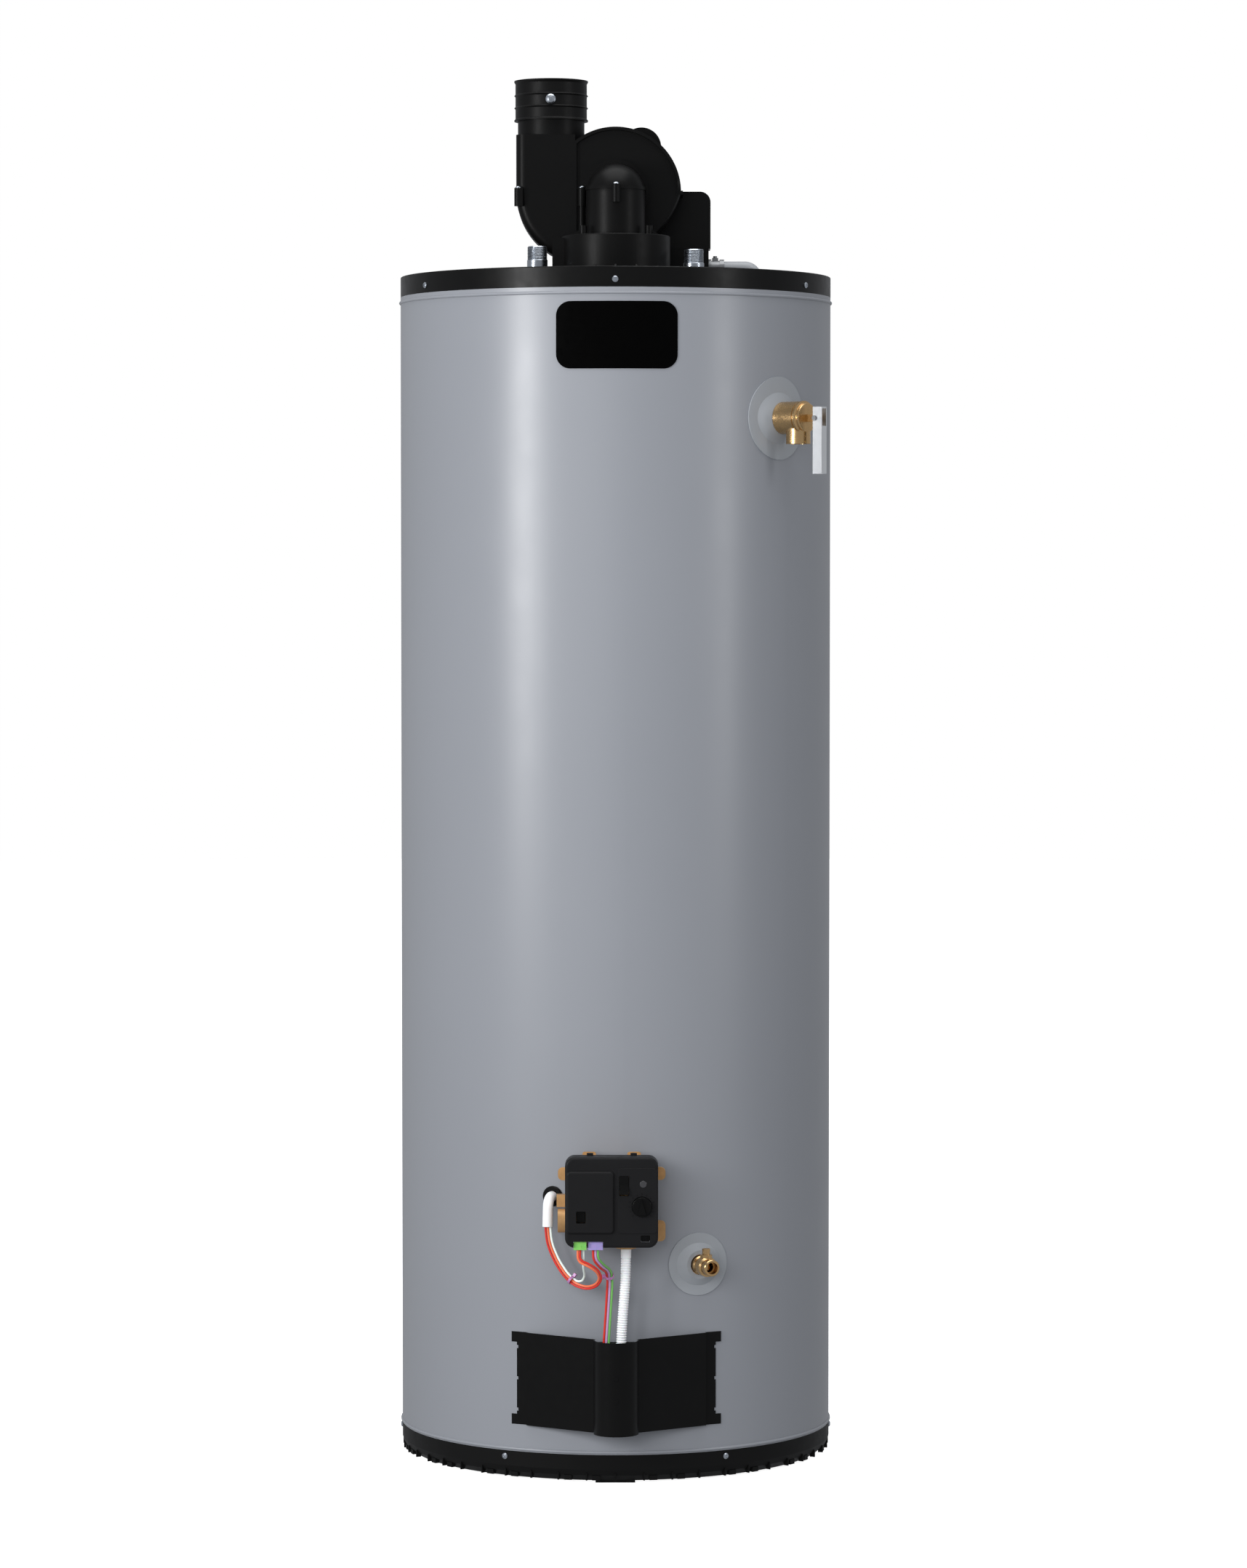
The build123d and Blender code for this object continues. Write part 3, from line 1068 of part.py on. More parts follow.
def blower_wheel():
    """A forward-curved wheel and its shaft, turning about Y."""
    back, front = SCROLL_BACK - HOUSING_WALL - 5.0, SCROLL_BACK - HOUSING_WALL - 5.0 - WHEEL_WIDTH
    plate = along_y(WHEEL_RADIUS, back, back - 2, 0, AXIS_Z)
    ring = along_y(WHEEL_RADIUS, front + 2, front, 0, AXIS_Z)
    ring -= along_y(WHEEL_RADIUS - 13, front + 5, front - 5, 0, AXIS_Z)
    hub = along_y(11, back, back - 16, 0, AXIS_Z)
    shaft = along_y(SHAFT_RADIUS, SCROLL_BACK + 20, back - 16, 0, AXIS_Z)
    blade = Rot(0, 0, 24) * Box(11, 1.2, WHEEL_WIDTH - 2, align=STAND)
    blades = Compound(children=[
        Pos(0, back - 1, AXIS_Z) * Rot(90, 0, 0) * Rot(0, 0, 360 * step / WHEEL_BLADES)
        * Pos(WHEEL_RADIUS - 6.5, 0, 0) * blade
        for step in range(WHEEL_BLADES)
    ])
    return plate + ring + hub + shaft + blades


def blower_motor():
    start, end = SCROLL_BACK, SCROLL_BACK + MOTOR_LENGTH
    can = along_y(MOTOR_RADIUS, end, start, 0, AXIS_Z)
    can = fillet(can.faces().sort_by(Axis.Y)[-1].edges(), 8)
    slots = Compound(children=[
        Pos(0, end - 4, AXIS_Z) * Rot(0, 30 * step, 0) * Pos(26, 0, 0) * Box(16, 12, 4)
        for step in range(12)
    ])
    can -= slots
    return can - along_y(SHAFT_RADIUS + RUN_GAP, start + 24, start - 1, 0, AXIS_Z)


def pressure_switch():
    z = AXIS_Z + PRESSURE_RISE
    disc = along_y(SWITCH_DISC, SCROLL_BACK + 13, SCROLL_BACK, PRESSURE_X, z)
    rim = along_y(SWITCH_DISC - 3, SCROLL_BACK + 20, SCROLL_BACK + 12, PRESSURE_X, z)
    rim = fillet(rim.faces().sort_by(Axis.Y)[-1].edges(), 2.5)
    port = along_y(3.2, SCROLL_BACK + 34, SCROLL_BACK + 19, PRESSURE_X, z)
    return disc + rim + port


def pressure_tube():
    """A small hose from the switch's port to a nipple on the scroll's back."""
    y = SCROLL_BACK + 30
    z = AXIS_Z + PRESSURE_RISE
    points = [(PRESSURE_X, y + 4, z), (PRESSURE_X, y + 22, z), (PRESSURE_X - 30, y + 30, z + 2),
              (PRESSURE_X - 60, y + 22, z - 4), (-36, y + 2, z - 8), (-38, SCROLL_BACK, z - 10)]
    return cord_along("pressure_tube", points, 3.2)


def junction_box():
    x, y = (BOX_LEFT, BOX_RIGHT), (BOX_FRONT, BOX_BACK)
    low, high = BODY_HEIGHT, BODY_HEIGHT + BOX_TALL
    step = BODY_HEIGHT + 45
    cover = block(x, y, (step, high))
    corner = cover.edges().filter_by(Axis.Y).sort_by(Axis.Z)[-2:].sort_by(Axis.X)[-1]
    cover = fillet(corner, 14)
    base = block((BOX_LEFT, BOX_RIGHT - 2.5), (BOX_FRONT + 1, BOX_BACK - 1), (low, step + 1))
    hollow = block((BOX_LEFT + 2, BOX_RIGHT - 5), (BOX_FRONT + 3, BOX_BACK - 3),
                   (low + 2, high - 16))
    box = cover + base - hollow
    box -= along_x(7.0, BOX_RIGHT - 10, BOX_RIGHT + 5, CONDUIT_Y, BODY_HEIGHT + CONDUIT_RISE)
    return box - along_y(11.0, BOX_BACK + 5, BOX_BACK - 8, 92, BODY_HEIGHT + 30)


def conduit_connector():
    y, z = CONDUIT_Y, BODY_HEIGHT + CONDUIT_RISE
    radius = CONDUIT_RADIUS
    start, end = CONNECTOR_START, CONNECTOR_END
    body = along_x(radius + 3.0, start, start + 4, y, z) + along_x(radius + 1.0, start, end - 5, y, z)
    body += along_x(radius + 2.6, end - 6, end, y, z)
    body += block((start + 5, start + 13), (y - 4, y + 4), (z + radius - 1, z + radius + 4.5))
    body += Pos(start + 9, y, z + radius + 4) * Cylinder(2.6, 3, align=STAND)
    body -= along_x(radius - 2, start - 1, end - 10, y, z)
    return body - along_x(radius, end - 11, end + 1, y, z)


def wiring_conduit():
    y, z = CONDUIT_Y, BODY_HEIGHT + CONDUIT_RISE
    points = [(CONNECTOR_END - 10, y, z), (CONDUIT_DROP_X, y, z),
              (CONDUIT_DROP_X, y, BODY_HEIGHT - 14)]
    return cord_along("wiring_conduit", points, CONDUIT_RADIUS, 15.0)


def badge_plate():
    """A curved blank badge on the jacket below the lid."""
    height = JACKET_TOP - BADGE_DROP
    outline = Pos(BADGE_X, 0, height) * Rot(90, 0, 0) * extrude(
        RectangleRounded(BADGE_WIDE, BADGE_TALL, BADGE_CORNER), JACKET_RADIUS + 20)
    skin = pipe(JACKET_RADIUS + 1.2, JACKET_RADIUS, height - 50, height + 50)
    return skin & outline


# ----------------------------------------------------------------- write out
def single(shape):
    solids = shape.solids()
    return solids[0] if len(solids) == 1 else Compound(children=list(solids))


def parts():
    side = NIPPLE_SPAN / 2
    made = {
        "jacket": jacket(), "jacket_lid": lid_plate(), "base_pan": base_pan(),
        "foam_insulation": foam_insulation(), "tank_shell": tank_shell(),
        "tank_top_head": tank_top_head(), "tank_bottom_head": tank_bottom_head(),
        "tank_skirt": tank_skirt(), "flue_tube": flue_tube(), "flue_baffle": flue_baffle(),
        "cold_inlet_nipple": nipple(-side, COLD_RISE), "hot_outlet_nipple": nipple(side, HOT_RISE),
        "dip_tube": dip_tube(), "anode_rod": anode_rod(),
        "relief_valve_body": relief_valve_body(), "relief_stem": relief_stem(),
        "relief_lever": relief_lever(), "relief_lever_pin": relief_lever_pin(),
        "relief_escutcheon": dished_disc(RELIEF_ANGLE, BODY_HEIGHT - RELIEF_DROP, RELIEF_DISC,
                                         15.0),
        "drain_valve_body": drain_valve_body(), "drain_stem": drain_stem(),
        "drain_escutcheon": dished_disc(DRAIN_ANGLE, DRAIN_HEIGHT, DRAIN_DISC, 13.0),
        "gas_control_casting": gas_control_casting(), "gas_control_cover": gas_control_cover(),
        "temperature_dial": temperature_dial(), "power_switch": power_switch(),
        "status_lens": status_lens(), "badge_plate": badge_plate(),
        "sensor_grommet": sensor_grommet(), "sensor_boot": sensor_boot(),
        "lead_red": sensor_lead("lead_red", beside(sensor_loop(), LEAD_GAP)),
        "lead_orange": sensor_lead("lead_orange", sensor_loop()),
        "lead_white": sensor_lead("lead_white", white_loop()),
        "pilot_lead_red": pilot_lead("pilot_lead_red", LEAD_GAP),
        "pilot_lead_lilac": pilot_lead("pilot_lead_lilac", 0.0),
        "pilot_lead_green": pilot_lead("pilot_lead_green", -LEAD_GAP),
        "green_plug": plug(GREEN_X, GREEN_WIDE), "lilac_plug": plug(LILAC_X, LILAC_WIDE),
        "harness_ties": harness_ties(), "gas_tube": gas_tube(),
        "burner_door_outer": burner_door_outer(), "burner_door_inner": burner_door_inner(),
        "door_gasket": door_gasket(), "burner": burner(), "burner_manifold": burner_manifold(),
        "pilot_assembly": pilot_assembly(), "blower_collar": blower_collar(),
        "blower_housing_lower": blower_housing_lower(),
        "blower_housing_upper": blower_housing_upper(),
        "blower_wheel": blower_wheel(), "blower_motor": blower_motor(),
        "pressure_switch": pressure_switch(), "pressure_tube": pressure_tube(),
        "vent_coupling": vent_coupling(), "coupling_screw": coupling_screw(),
        "junction_box": junction_box(), "conduit_connector": conduit_connector(),
        "wiring_conduit": wiring_conduit(), "blower_screws": blower_screws(),
        "jacket_screws": jacket_screws(),
    }
    return made


def write(made):
    os.makedirs("parts", exist_ok=True)
    for name, shape in made.items():
        if isinstance(shape, list):
            shape = Compound(children=[solid for piece in shape for solid in piece.solids()])
        export_step(shape, f"parts/{name}.step")


write(parts())
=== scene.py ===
import json
import math

import bmesh
import bpy
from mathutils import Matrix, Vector


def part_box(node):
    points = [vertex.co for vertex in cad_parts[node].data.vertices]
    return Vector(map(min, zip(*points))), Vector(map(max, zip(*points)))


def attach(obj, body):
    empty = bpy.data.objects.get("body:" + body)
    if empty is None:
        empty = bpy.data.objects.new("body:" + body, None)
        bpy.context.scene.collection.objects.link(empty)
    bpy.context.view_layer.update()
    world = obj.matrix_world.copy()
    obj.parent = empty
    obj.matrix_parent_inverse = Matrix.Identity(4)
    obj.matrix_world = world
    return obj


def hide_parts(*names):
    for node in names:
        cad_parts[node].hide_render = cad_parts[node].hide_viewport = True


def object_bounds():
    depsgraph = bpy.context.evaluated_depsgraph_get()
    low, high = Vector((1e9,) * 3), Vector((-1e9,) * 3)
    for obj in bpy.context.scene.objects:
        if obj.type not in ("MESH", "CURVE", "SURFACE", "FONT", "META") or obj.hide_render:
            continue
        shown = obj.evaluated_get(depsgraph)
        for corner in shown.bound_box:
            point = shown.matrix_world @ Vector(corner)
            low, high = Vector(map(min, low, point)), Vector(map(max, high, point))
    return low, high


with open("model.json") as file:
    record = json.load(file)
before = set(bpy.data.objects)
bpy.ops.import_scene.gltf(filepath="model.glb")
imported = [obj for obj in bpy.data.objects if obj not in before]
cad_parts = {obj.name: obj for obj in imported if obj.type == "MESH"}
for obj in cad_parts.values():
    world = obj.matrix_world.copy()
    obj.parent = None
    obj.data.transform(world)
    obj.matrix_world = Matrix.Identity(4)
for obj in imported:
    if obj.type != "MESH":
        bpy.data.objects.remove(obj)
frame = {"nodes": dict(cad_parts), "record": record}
cad_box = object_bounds()
scene = bpy.context.scene
nodes = frame["nodes"]

# All lengths are in metres unless a comment says otherwise.

# ------------------------------------------------------------ camera and light
CAMERA_AT = (0.0103, -6.5868, 1.15065)
CAMERA_PITCH = 2.44          # degrees below level
LENS, SENSOR_WIDTH = 115.9, 36.0             # millimetres
CLIP_NEAR, CLIP_FAR = 0.05, 100.0

# Each soft box's angle from the front in degrees (left is negative), its distance, its height,
# its width and length, its power in watts, and the height on the heater's axis it points at.
SOFT_BOXES = {
    "key_left": (-47.0, 3.4, 1.4, (0.6, 1.0), 52.0, 1.4),
    "wash_left": (-18.0, 5.0, 1.7, (3.2, 2.4), 156.0, 1.1),
    "fill_right": (58.0, 3.6, 1.5, (0.35, 1.3), 16.0, 1.2),
    "overhead": (0.0, 0.6, 4.6, (3.5, 3.5), 110.0, 0.0),
}
WITHOUT_REFLECTION = "wash_left"             # it lights the jacket but doesn't show in its gloss
SKY_COLOUR, SKY_STRENGTH = (0.94, 0.96, 1.0), 0.4

FLOOR_HALF_WIDTH = 14.0
FLOOR_GAP = 0.0005           # keeps the floor clear of the base pan
FLOOR_COLOUR, FLOOR_GLOW = (0.9, 0.9, 0.9), 0.9
WALL_RADIUS, WALL_SEGMENTS, WALL_RINGS = 13.5, 48, 24
WALL_COLOUR, WALL_GLOW = (0.0, 0.0, 0.0), 1.0
STUDIO_ROUGHNESS, STUDIO_SPECULAR = 0.9, 0.1


def add_camera():
    data = bpy.data.cameras.new("main_camera")
    data.lens = LENS
    data.sensor_width = SENSOR_WIDTH
    data.clip_start = CLIP_NEAR
    data.clip_end = CLIP_FAR
    camera = bpy.data.objects.new("main_camera", data)
    camera.location = CAMERA_AT
    camera.rotation_euler = (math.radians(90.0 - CAMERA_PITCH), 0.0, 0.0)
    scene.collection.objects.link(camera)
    scene.camera = camera


def add_soft_box(name, azimuth, distance, height, size, power, aim):
    data = bpy.data.lights.new(name, "AREA")
    data.shape = "RECTANGLE"
    data.size, data.size_y = size
    data.energy = power
    light = bpy.data.objects.new(name, data)
    angle = math.radians(azimuth)
    place = Vector((distance * math.sin(angle), -distance * math.cos(angle), height))
    light.location = place
    light.rotation_euler = (Vector((0, 0, aim)) - place).to_track_quat("-Z", "Y").to_euler()
    light.visible_glossy = name != WITHOUT_REFLECTION
    scene.collection.objects.link(light)


def add_sky():
    world = bpy.data.worlds.new("studio")
    world.use_nodes = True
    set_inputs(world.node_tree.nodes["Background"],
               {"Color": (*SKY_COLOUR, 1.0), "Strength": SKY_STRENGTH})
    scene.world = world
    scene.view_settings.view_transform = "Standard"


def studio_finish(name, colour, glow):
    """A matt finish that also gives off white light."""
    material = bpy.data.materials.new(name)
    material.use_nodes = True
    set_inputs(material.node_tree.nodes["Principled BSDF"], {
        "Base Color": (*colour, 1.0),
        "Roughness": STUDIO_ROUGHNESS,
        "Specular IOR Level": STUDIO_SPECULAR,
        "Emission Color": (1.0, 1.0, 1.0, 1.0),
        "Emission Strength": glow,
    })
    return material


def add_stage():
    """A pale floor and, far around it, a white studio wall that only the camera sees."""
    grid = bmesh.new()
    bmesh.ops.create_grid(grid, x_segments=1, y_segments=1, size=FLOOR_HALF_WIDTH)
    floor = mesh_object("studio_floor", grid)
    floor.location.z = cad_box[0][2] - FLOOR_GAP
    floor.data.materials.append(studio_finish("floor_white", FLOOR_COLOUR, FLOOR_GLOW))
    floor.visible_glossy = False
    floor.visible_diffuse = False
    dome = bmesh.new()
    bmesh.ops.create_uvsphere(dome, u_segments=WALL_SEGMENTS, v_segments=WALL_RINGS,
                              radius=WALL_RADIUS)
    wall = mesh_object("studio_wall", dome)
    wall.data.materials.append(studio_finish("wall_white", WALL_COLOUR, WALL_GLOW))
    for flag in ("visible_diffuse", "visible_glossy", "visible_transmission",
                 "visible_volume_scatter", "visible_shadow"):
        setattr(wall, flag, False)


# -------------------------------------------------------------------- helpers
def set_inputs(node, values):
    for socket, value in values.items():
        node.inputs[socket].default_value = value


def mesh_object(name, mesh, smooth=False):
    data = bpy.data.meshes.new(name)
    mesh.to_mesh(data)
    mesh.free()
    if smooth:
        data.polygons.foreach_set("use_smooth", [True] * len(data.polygons))
    piece = bpy.data.objects.new(name, data)
    scene.collection.objects.link(piece)
    return piece


def adopt(piece, body, material, slot, *replaced):
    """Dress a new piece, attach it to its body and hide the CAD nodes it replaces; slot is not
    used.
    """
    piece.data.materials.append(material)
    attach(piece, body)
    if replaced:
        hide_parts(*replaced)


# ------------------------------------------------------------------ materials
DRIFT_LOW, DRIFT_HIGH = 0.3, 0.7         # the stretch of noise that colour and gloss follow
GLOSS_FINER = 5.0                        # gloss drifts this much finer than colour
NOISE_DETAIL, GRAIN_DETAIL = 4.0, 3.0
BUMP_STRENGTH = 0.6
LEAST_ROUGHNESS = 0.02
COAT_ROUGHNESS = 0.2
SUBSURFACE_DEPTH = 0.002

# Each finish's screen colour (0 to 255), its roughness, and what differs from surface()'s
# defaults.
FINISHES = {
    "jacket_paint": ((128, 131, 137), 0.34, dict(
        vary=0.012, vary_scale=3.0, spread=0.02, grain=(420.0, 0.00003))),
    "black_sheet": ((10, 10, 10), 0.33, dict(
        specular=0.13, vary=0.05, spread=0.03, grain=(1500.0, 0.00002))),
    "black_plastic": ((9, 9, 9), 0.4, dict(
        specular=0.12, vary=0.04, spread=0.02, grain=(1100.0, 0.00003))),
    "pan_black": ((13, 13, 13), 0.5, dict(specular=0.12, vary=0.06, spread=0.03)),
    "badge_black": ((3, 3, 3), 0.3, dict(specular=0.02, vary=0.1, grain=(600.0, 0.00001))),
    "foam": ((214, 190, 130), 0.85, dict(vary=0.1, grain=(300.0, 0.0004))),
    "steel": ((150, 152, 155), 0.42, dict(metallic=1.0, stretch=(1.0, 1.0, 0.15))),
    "zinc": ((178, 184, 192), 0.3, dict(
        metallic=1.0, vary=0.05, vary_scale=60.0, grain=(1500.0, 0.00003))),
    "magnesium": ((170, 171, 172), 0.5, dict(metallic=1.0)),
    "pipe_plastic": ((160, 180, 210), 0.5, {}),
    "brass": ((212, 176, 126), 0.27, dict(
        metallic=1.0, vary=0.03, vary_scale=45.0, spread=0.03, grain=(1400.0, 0.00002))),
    "lever_steel": ((226, 228, 230), 0.34, dict(
        metallic=1.0, vary=0.02, vary_scale=30.0, spread=0.01, grain=(2500.0, 0.00001),
        stretch=(1.0, 1.0, 0.1))),
    "escutcheon_grey": ((139, 143, 148), 0.4, dict(
        specular=0.4, vary=0.02, grain=(700.0, 0.00003))),
    "casting_tan": ((186, 146, 98), 0.46, dict(
        metallic=0.45, vary=0.16, vary_scale=70.0, grain=(700.0, 0.00012))),
    "control_black": ((22, 22, 23), 0.46, dict(
        specular=0.14, vary=0.05, grain=(1700.0, 0.00006))),
    "dial_black": ((8, 8, 8), 0.32, dict(specular=0.14, vary=0.05, grain=(1200.0, 0.00002))),
    "lens_grey": ((48, 48, 50), 0.12, dict(vary=0.1, coat=0.5)),
    "rubber_black": ((9, 9, 9), 0.42, dict(specular=0.14, vary=0.06, grain=(900.0, 0.00008))),
    "white_plastic": ((232, 234, 236), 0.4, dict(
        vary=0.03, grain=(800.0, 0.00003), subsurface=0.1)),
    "wire_red": ((196, 44, 34), 0.36, dict(vary=0.08)),
    "wire_orange": ((228, 112, 74), 0.36, dict(vary=0.08)),
    "wire_white": ((222, 236, 230), 0.36, dict(vary=0.05)),
    "wire_lilac": ((178, 140, 184), 0.36, dict(vary=0.08)),
    "wire_green": ((104, 168, 84), 0.36, dict(vary=0.08)),
    "plug_green": ((120, 188, 92), 0.3, dict(vary=0.1, subsurface=0.3)),
    "plug_lilac": ((148, 136, 188), 0.3, dict(vary=0.1, subsurface=0.3)),
    "tie_clear": ((176, 120, 172), 0.3, dict(vary=0.2, subsurface=0.3)),
    "gasket": ((205, 200, 185), 0.9, dict(vary=0.1, grain=(500.0, 0.0003))),
    "conduit_grey": ((150, 153, 157), 0.42, dict(vary=0.04, vary_scale=40.0)),
    "connector_grey": ((134, 136, 138), 0.4, dict(metallic=0.7, vary=0.08)),
    "motor_steel": ((40, 40, 42), 0.38, dict(metallic=0.6, vary=0.1)),
    "fan_metal": ((170, 172, 174), 0.35, dict(metallic=1.0)),
}


def linear(rgb):
    """Screen colour, 0 to 255, as linear light on the sRGB curve."""
    return tuple((c / 255 / 12.92) if c / 255 <= 0.04045 else ((c / 255 + 0.055) / 1.055) ** 2.4
                 for c in rgb)


def surface(name, rgb, roughness, metallic=0.0, specular=0.5, vary=0.12, vary_scale=18.0,
            spread=0.06, grain=(900.0, 0.00004), stretch=(1.0, 1.0, 1.0), coat=0.0,
            subsurface=0.0):
    """A finish whose colour and roughness drift slowly, over a fine surface grain.

    vary is the share that the colour drifts by and vary_scale how often it does so, spread is
    how far the roughness drifts, and grain is the scale and the depth of the grain.
    """
    colour = linear(rgb)
    material = bpy.data.materials.new(name)
    material.use_nodes = True
    tree = material.node_tree
    shader = tree.nodes["Principled BSDF"]
    set_inputs(shader, {"Metallic": metallic, "Specular IOR Level": specular,
                        "Coat Weight": coat, "Coat Roughness": COAT_ROUGHNESS,
                        "Subsurface Weight": subsurface})
    if subsurface:
        set_inputs(shader, {"Subsurface Scale": SUBSURFACE_DEPTH})
    coords = tree.nodes.new("ShaderNodeTexCoord")
    mapping = tree.nodes.new("ShaderNodeMapping")
    set_inputs(mapping, {"Scale": stretch})
    tree.links.new(coords.outputs["Object"], mapping.inputs["Vector"])

    def noise(scale, detail=NOISE_DETAIL):
        node = tree.nodes.new("ShaderNodeTexNoise")
        set_inputs(node, {"Scale": scale, "Detail": detail})
        tree.links.new(mapping.outputs["Vector"], node.inputs["Vector"])
        return node.outputs["Fac"]

    ramp = tree.nodes.new("ShaderNodeValToRGB")
    dark, light = ramp.color_ramp.elements
    dark.position, light.position = DRIFT_LOW, DRIFT_HIGH
    dark.color = (*[c * (1 - vary) for c in colour], 1.0)
    light.color = (*[min(1.0, c * (1 + vary)) for c in colour], 1.0)
    tree.links.new(noise(vary_scale), ramp.inputs["Fac"])
    tree.links.new(ramp.outputs["Color"], shader.inputs["Base Color"])
    gloss = tree.nodes.new("ShaderNodeMapRange")
    set_inputs(gloss, {"From Min": DRIFT_LOW, "From Max": DRIFT_HIGH,
                       "To Min": max(LEAST_ROUGHNESS, roughness - spread),
                       "To Max": min(1.0, roughness + spread)})
    tree.links.new(noise(vary_scale * GLOSS_FINER), gloss.inputs["Value"])
    tree.links.new(gloss.outputs["Result"], shader.inputs["Roughness"])
    grain_scale, grain_depth = grain
    bump = tree.nodes.new("ShaderNodeBump")
    set_inputs(bump, {"Strength": BUMP_STRENGTH, "Distance": grain_depth})
    tree.links.new(noise(grain_scale, GRAIN_DETAIL), bump.inputs["Height"])
    tree.links.new(bump.outputs["Normal"], shader.inputs["Normal"])
    return material


def finish_cad(materials):
    """Each carried-over CAD node takes the finish of its slot in the record."""
    for part in frame["record"]["subparts"]:
        piece = nodes[part["node"]]
        piece.data.materials.clear()
        piece.data.materials.append(materials[part["material_slot"]])


# --------------------------------------------------------------- swept meshes
CURVE_ORDER, CURVE_RESOLUTION = 3, 40
TUBE_SIDES = 36


def nurbs_points(name, route):
    """Points along the smooth curve whose control points are the route."""
    data = bpy.data.curves.new(name, "CURVE")
    data.dimensions = "3D"
    spline = data.splines.new("NURBS")
    spline.points.add(len(route) - 1)
    for point, place in zip(spline.points, route):
        point.co = (*place, 1.0)
    spline.order_u = CURVE_ORDER
    spline.use_endpoint_u = True
    spline.resolution_u = CURVE_RESOLUTION
    guide = bpy.data.objects.new(name, data)
    line = bpy.data.meshes.new_from_object(guide)
    points = [vertex.co.copy() for vertex in line.vertices]
    bpy.data.objects.remove(guide)
    return points


def evenly(points, step):
    """The same line with points a fixed step apart, and each point's distance along it."""
    out, along, travelled, target = [], [], 0.0, 0.0
    for start, end in zip(points, points[1:]):
        run = (end - start).length
        while run > 0 and target <= travelled + run:
            out.append(start.lerp(end, (target - travelled) / run))
            along.append(target)
            target += step
        travelled += run
    return out, along


def join_rings(mesh, rings, closed=False):
    """Faces between each ring and the next and, where closed, from the last to the first."""
    sides = len(rings[0])
    pairs = list(zip(rings, rings[1:]))
    if closed:
        pairs.append((rings[-1], rings[0]))
    for low, high in pairs:
        for step in range(sides):
            after = (step + 1) % sides
            mesh.faces.new((low[step], low[after], high[after], high[step]))


def cap_ends(mesh, rings):
    mesh.faces.new(rings[0])
    mesh.faces.new(rings[-1][::-1])


def turn_outward(mesh):
    bmesh.ops.recalc_face_normals(mesh, faces=mesh.faces[:])


def swept_tube(name, points, radii):
    """Rings of varying radius along a line, closed at both ends."""
    mesh = bmesh.new()
    rings, normal = [], Vector((1.0, 0.0, 0.0))
    for index, (point, radius) in enumerate(zip(points, radii)):
        after = points[min(index + 1, len(points) - 1)]
        before = points[max(index - 1, 0)]
        way = (after - before).normalized()
        normal = (normal - way * normal.dot(way)).normalized()
        side = way.cross(normal)
        ring = []
        for step in range(TUBE_SIDES):
            turn = 2 * math.pi * step / TUBE_SIDES
            out = normal * math.cos(turn) + side * math.sin(turn)
            ring.append(mesh.verts.new(point + out * radius))
        rings.append(ring)
    join_rings(mesh, rings)
    cap_ends(mesh, rings)
    turn_outward(mesh)
    return mesh_object(name, mesh, smooth=True)


# ------------------------------------------------------------------- gas tube
GAS_TUBE_ROUTE = (           # the control points of the CAD's gas tube
    (0.0135, -0.3164, 0.3135), (0.0135, -0.3164, 0.2695), (0.0085, -0.3174, 0.2095),
    (0.007, -0.3164, 0.1695), (0.0055, -0.3044, 0.1415), (0.0012, -0.2764, 0.129),
    (0.0012, -0.2406, 0.129),
)
TUBE_RADIUS = 0.0065
TUBE_PLAIN = 0.022           # smooth cuff at the top
GROOVE_PITCH = 0.0031        # from one corrugation to the next
GROOVE_STEPS = 8             # rings to a corrugation
GROOVE_DEPTH, GROOVE_SHARPNESS = 0.0011, 1.5


def corrugated_gas_tube(material):
    route = nurbs_points("gas_route", GAS_TUBE_ROUTE)
    points, along = evenly(route, GROOVE_PITCH / GROOVE_STEPS)
    radii = []
    for distance in along:
        wave = 0.5 + 0.5 * math.cos(2 * math.pi * distance / GROOVE_PITCH)
        groove = TUBE_RADIUS - GROOVE_DEPTH * (1.0 - wave) ** GROOVE_SHARPNESS
        radii.append(TUBE_RADIUS if distance < TUBE_PLAIN else groove)
    tube = swept_tube("gas_tube_corrugated", points, radii)
    adopt(tube, "heater", material, "white_plastic", "gas_tube")


# --------------------------------------------------------------- pipe nipples
NIPPLE_RADIUS, NIPPLE_BORE, NIPPLE_SIDES = 0.01335, 0.0104, 72
THREAD_PITCH = 0.001814      # 14 threads to the inch
THREAD_LONG = 0.0163
THREAD_CREST, THREAD_ROOT = 0.013, 0.01225
THREAD_STEPS = 12            # rings to a turn of the thread
THREAD_RUNOUT = 0.0008       # from the plain pipe to the first ring of thread
MOUTH_LONG, MOUTH_INSET = 0.001, 0.0004      # the chamfer at the upper end


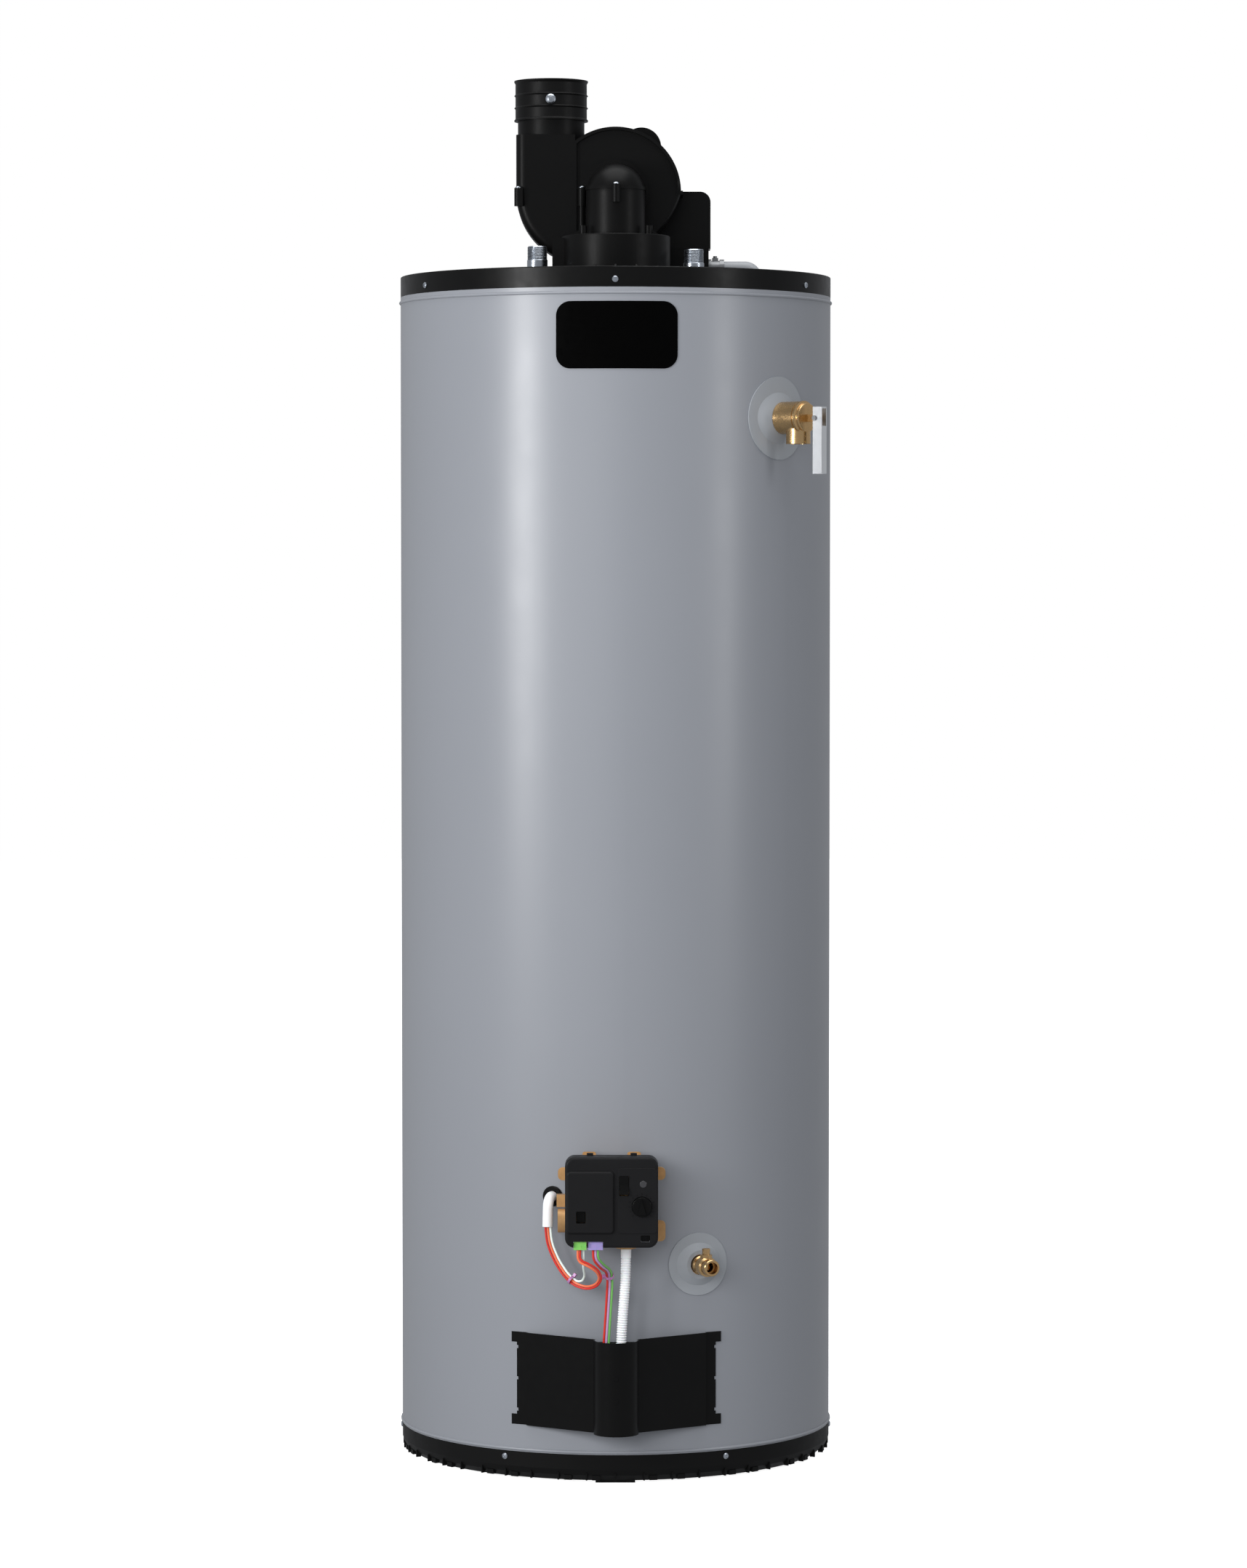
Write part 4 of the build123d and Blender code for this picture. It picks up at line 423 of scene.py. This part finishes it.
def threaded_nipple(name, node, material):
    """A plain pipe whose upper end carries a helical thread, chamfered at its mouth."""
    low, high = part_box(node)
    x, y = (low[0] + high[0]) / 2, (low[1] + high[1]) / 2
    top = high[2]
    start = top - MOUTH_LONG - THREAD_LONG
    count = int(THREAD_LONG / THREAD_PITCH * THREAD_STEPS)
    mesh = bmesh.new()
    rings = []

    def add_ring(height, radius_at):
        ring = []
        for step in range(NIPPLE_SIDES):
            turn = 2 * math.pi * step / NIPPLE_SIDES
            radius = radius_at(step / NIPPLE_SIDES)
            ring.append(mesh.verts.new((x + radius * math.cos(turn), y + radius * math.sin(turn),
                                        height)))
        rings.append(ring)

    def plain(radius):
        return lambda share: radius

    def threaded(height):
        def radius_at(share):
            phase = ((height - start) / THREAD_PITCH - share) % 1.0
            return THREAD_ROOT + (THREAD_CREST - THREAD_ROOT) * abs(2 * phase - 1)
        return radius_at

    add_ring(low[2], plain(NIPPLE_RADIUS))
    add_ring(start - THREAD_RUNOUT, plain(NIPPLE_RADIUS))
    for step in range(count + 1):
        height = start + THREAD_LONG * step / count
        add_ring(height, threaded(height))
    add_ring(top, plain(THREAD_ROOT - MOUTH_INSET))
    add_ring(top, plain(NIPPLE_BORE))
    add_ring(low[2], plain(NIPPLE_BORE))
    join_rings(mesh, rings, closed=True)
    turn_outward(mesh)
    adopt(mesh_object(name, mesh), "heater", material, "zinc", node)


# ---------------------------------------------------------------- jacket seam
SEAM_ABOVE_PAN, SEAM_BELOW_LID = 0.006, 0.010
SEAM_HALF_WIDTH, SEAM_RISE, SEAM_STEPS = 0.011, 0.0011, 12
SEAM_SUNK = 0.0004           # how far its inner face lies inside the jacket
SEAM_END = 0.001             # length of its sloping ends
SEAM_END_RISE, SEAM_EDGE_RISE = 0.4, 0.35    # shares of the rise at its ends and its edges


def seam_vertex(mesh, share, radius, out, height):
    """A point a share of the way across the seam, a distance out from the heater's axis."""
    turn = (share - 0.5) * 2 * SEAM_HALF_WIDTH / radius
    return mesh.verts.new((out * math.sin(turn), out * math.cos(turn), height))


def jacket_seam(material):
    """The lapped joint of the rolled jacket, down the middle of its back."""
    pan_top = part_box("base_pan")[1][2]
    lid_low, lid_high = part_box("jacket_lid")
    bottom, top = pan_top + SEAM_ABOVE_PAN, lid_low[2] - SEAM_BELOW_LID
    radius = (lid_high[0] - lid_low[0]) / 2
    mesh = bmesh.new()
    rings = []
    for height in (bottom, bottom + SEAM_END, top - SEAM_END, top):
        rise = SEAM_RISE if bottom < height < top else SEAM_RISE * SEAM_END_RISE
        ring = []
        for step in range(SEAM_STEPS + 1):
            out = radius + rise * (SEAM_EDGE_RISE if step in (0, SEAM_STEPS) else 1.0)
            ring.append(seam_vertex(mesh, step / SEAM_STEPS, radius, out, height))
        for step in range(SEAM_STEPS + 1):
            out = radius - SEAM_SUNK
            ring.append(seam_vertex(mesh, 1 - step / SEAM_STEPS, radius, out, height))
        rings.append(ring)
    join_rings(mesh, rings)
    cap_ends(mesh, rings)
    turn_outward(mesh)
    adopt(mesh_object("jacket_seam", mesh), "heater", material, "jacket_paint")


# ---------------------------------------------------------------- gas control
PANEL_DEPTH = 0.0032         # from the front of the cover back to the panel with the dial
TICKS, FIRST_TICK, TICK_TURN = 13, -135, 22.5        # their count, and angles in degrees
LONG_TICK_EVERY, LONG_TICK, SHORT_TICK = 3, 0.0024, 0.0014
TICK_NEAR, TICK_HALF_WIDTH = 0.0148, 0.0003
TICK_DEPTHS = (0.0004, -0.0003)              # its back and its front, from the panel
BLOCK_FACES = ((0, 1, 2, 3), (7, 6, 5, 4), (0, 4, 5, 1), (1, 5, 6, 2), (2, 6, 7, 3),
               (3, 7, 4, 0))

SOCKETS = (                  # the middle (x and z), width, height and ribs of each one
    (-0.0425, 0.348, 0.0108, 0.014, 3),
    (0.0374, 0.3208, 0.0102, 0.0075, 2),
)
SOCKET_DEPTHS = (0.0085, 0.0068)             # back and front, from the front of the cover
RIB_DEPTHS = (0.007, 0.0058)
RIB_WIDTH, RIB_HEIGHT = 0.12, 0.62           # shares of the socket's
RIB_MARGIN = 0.6             # room beside the outer ribs, in ribs
SOCKET_EDGE = 0.0002


def dial_marks(material):
    """Raised ticks round the dial, on the cover's right panel."""
    low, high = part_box("temperature_dial")
    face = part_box("gas_control_cover")[0][1] + PANEL_DEPTH
    middle = Vector(((low[0] + high[0]) / 2, face, (low[2] + high[2]) / 2))
    mesh = bmesh.new()
    for tick in range(TICKS):
        turn = math.radians(FIRST_TICK + TICK_TURN * tick)
        far = TICK_NEAR + (LONG_TICK if tick % LONG_TICK_EVERY == 0 else SHORT_TICK)
        across = Vector((math.cos(turn), 0, -math.sin(turn))) * TICK_HALF_WIDTH
        out = Vector((math.sin(turn), 0, math.cos(turn)))
        corners = []
        for depth in TICK_DEPTHS:
            for reach, side in ((TICK_NEAR, -1), (TICK_NEAR, 1), (far, 1), (far, -1)):
                corners.append(mesh.verts.new(middle + out * reach + across * side
                                              + Vector((0, depth, 0))))
        for loop in BLOCK_FACES:
            mesh.faces.new([corners[i] for i in loop])
    turn_outward(mesh)
    adopt(mesh_object("dial_marks", mesh), "heater", material, "dial_black")


def add_block(mesh, x, z, wide, tall, face, depths):
    back, front = (face + depth for depth in depths)
    made = bmesh.ops.create_cube(mesh, size=1.0)["verts"]
    bmesh.ops.scale(mesh, vec=(wide, back - front, tall), verts=made)
    bmesh.ops.translate(mesh, vec=(x, (back + front) / 2, z), verts=made)


def window_sockets(material):
    """Dark ribbed connectors behind the cover's two windows."""
    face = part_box("gas_control_cover")[0][1]
    mesh = bmesh.new()
    for x, z, wide, tall, ribs in SOCKETS:
        add_block(mesh, x, z, wide, tall, face, SOCKET_DEPTHS)
        for rib in range(ribs):
            across = x + (rib - (ribs - 1) / 2) * wide / (ribs + RIB_MARGIN)
            add_block(mesh, across, z, wide * RIB_WIDTH, tall * RIB_HEIGHT, face, RIB_DEPTHS)
    bmesh.ops.bevel(mesh, geom=mesh.edges[:], offset=SOCKET_EDGE, segments=2, affect="EDGES")
    adopt(mesh_object("window_sockets", mesh), "heater", material, "dial_black")


add_camera()
for box_name, settings in SOFT_BOXES.items():
    add_soft_box(box_name, *settings)
add_sky()
add_stage()
materials = {name: surface(name, rgb, roughness, **rest)
             for name, (rgb, roughness, rest) in FINISHES.items()}
finish_cad(materials)
corrugated_gas_tube(materials["white_plastic"])
threaded_nipple("cold_inlet_threaded", "cold_inlet_nipple", materials["zinc"])
threaded_nipple("hot_outlet_threaded", "hot_outlet_nipple", materials["zinc"])
jacket_seam(materials["jacket_paint"])
dial_marks(materials["dial_black"])
window_sockets(materials["dial_black"])
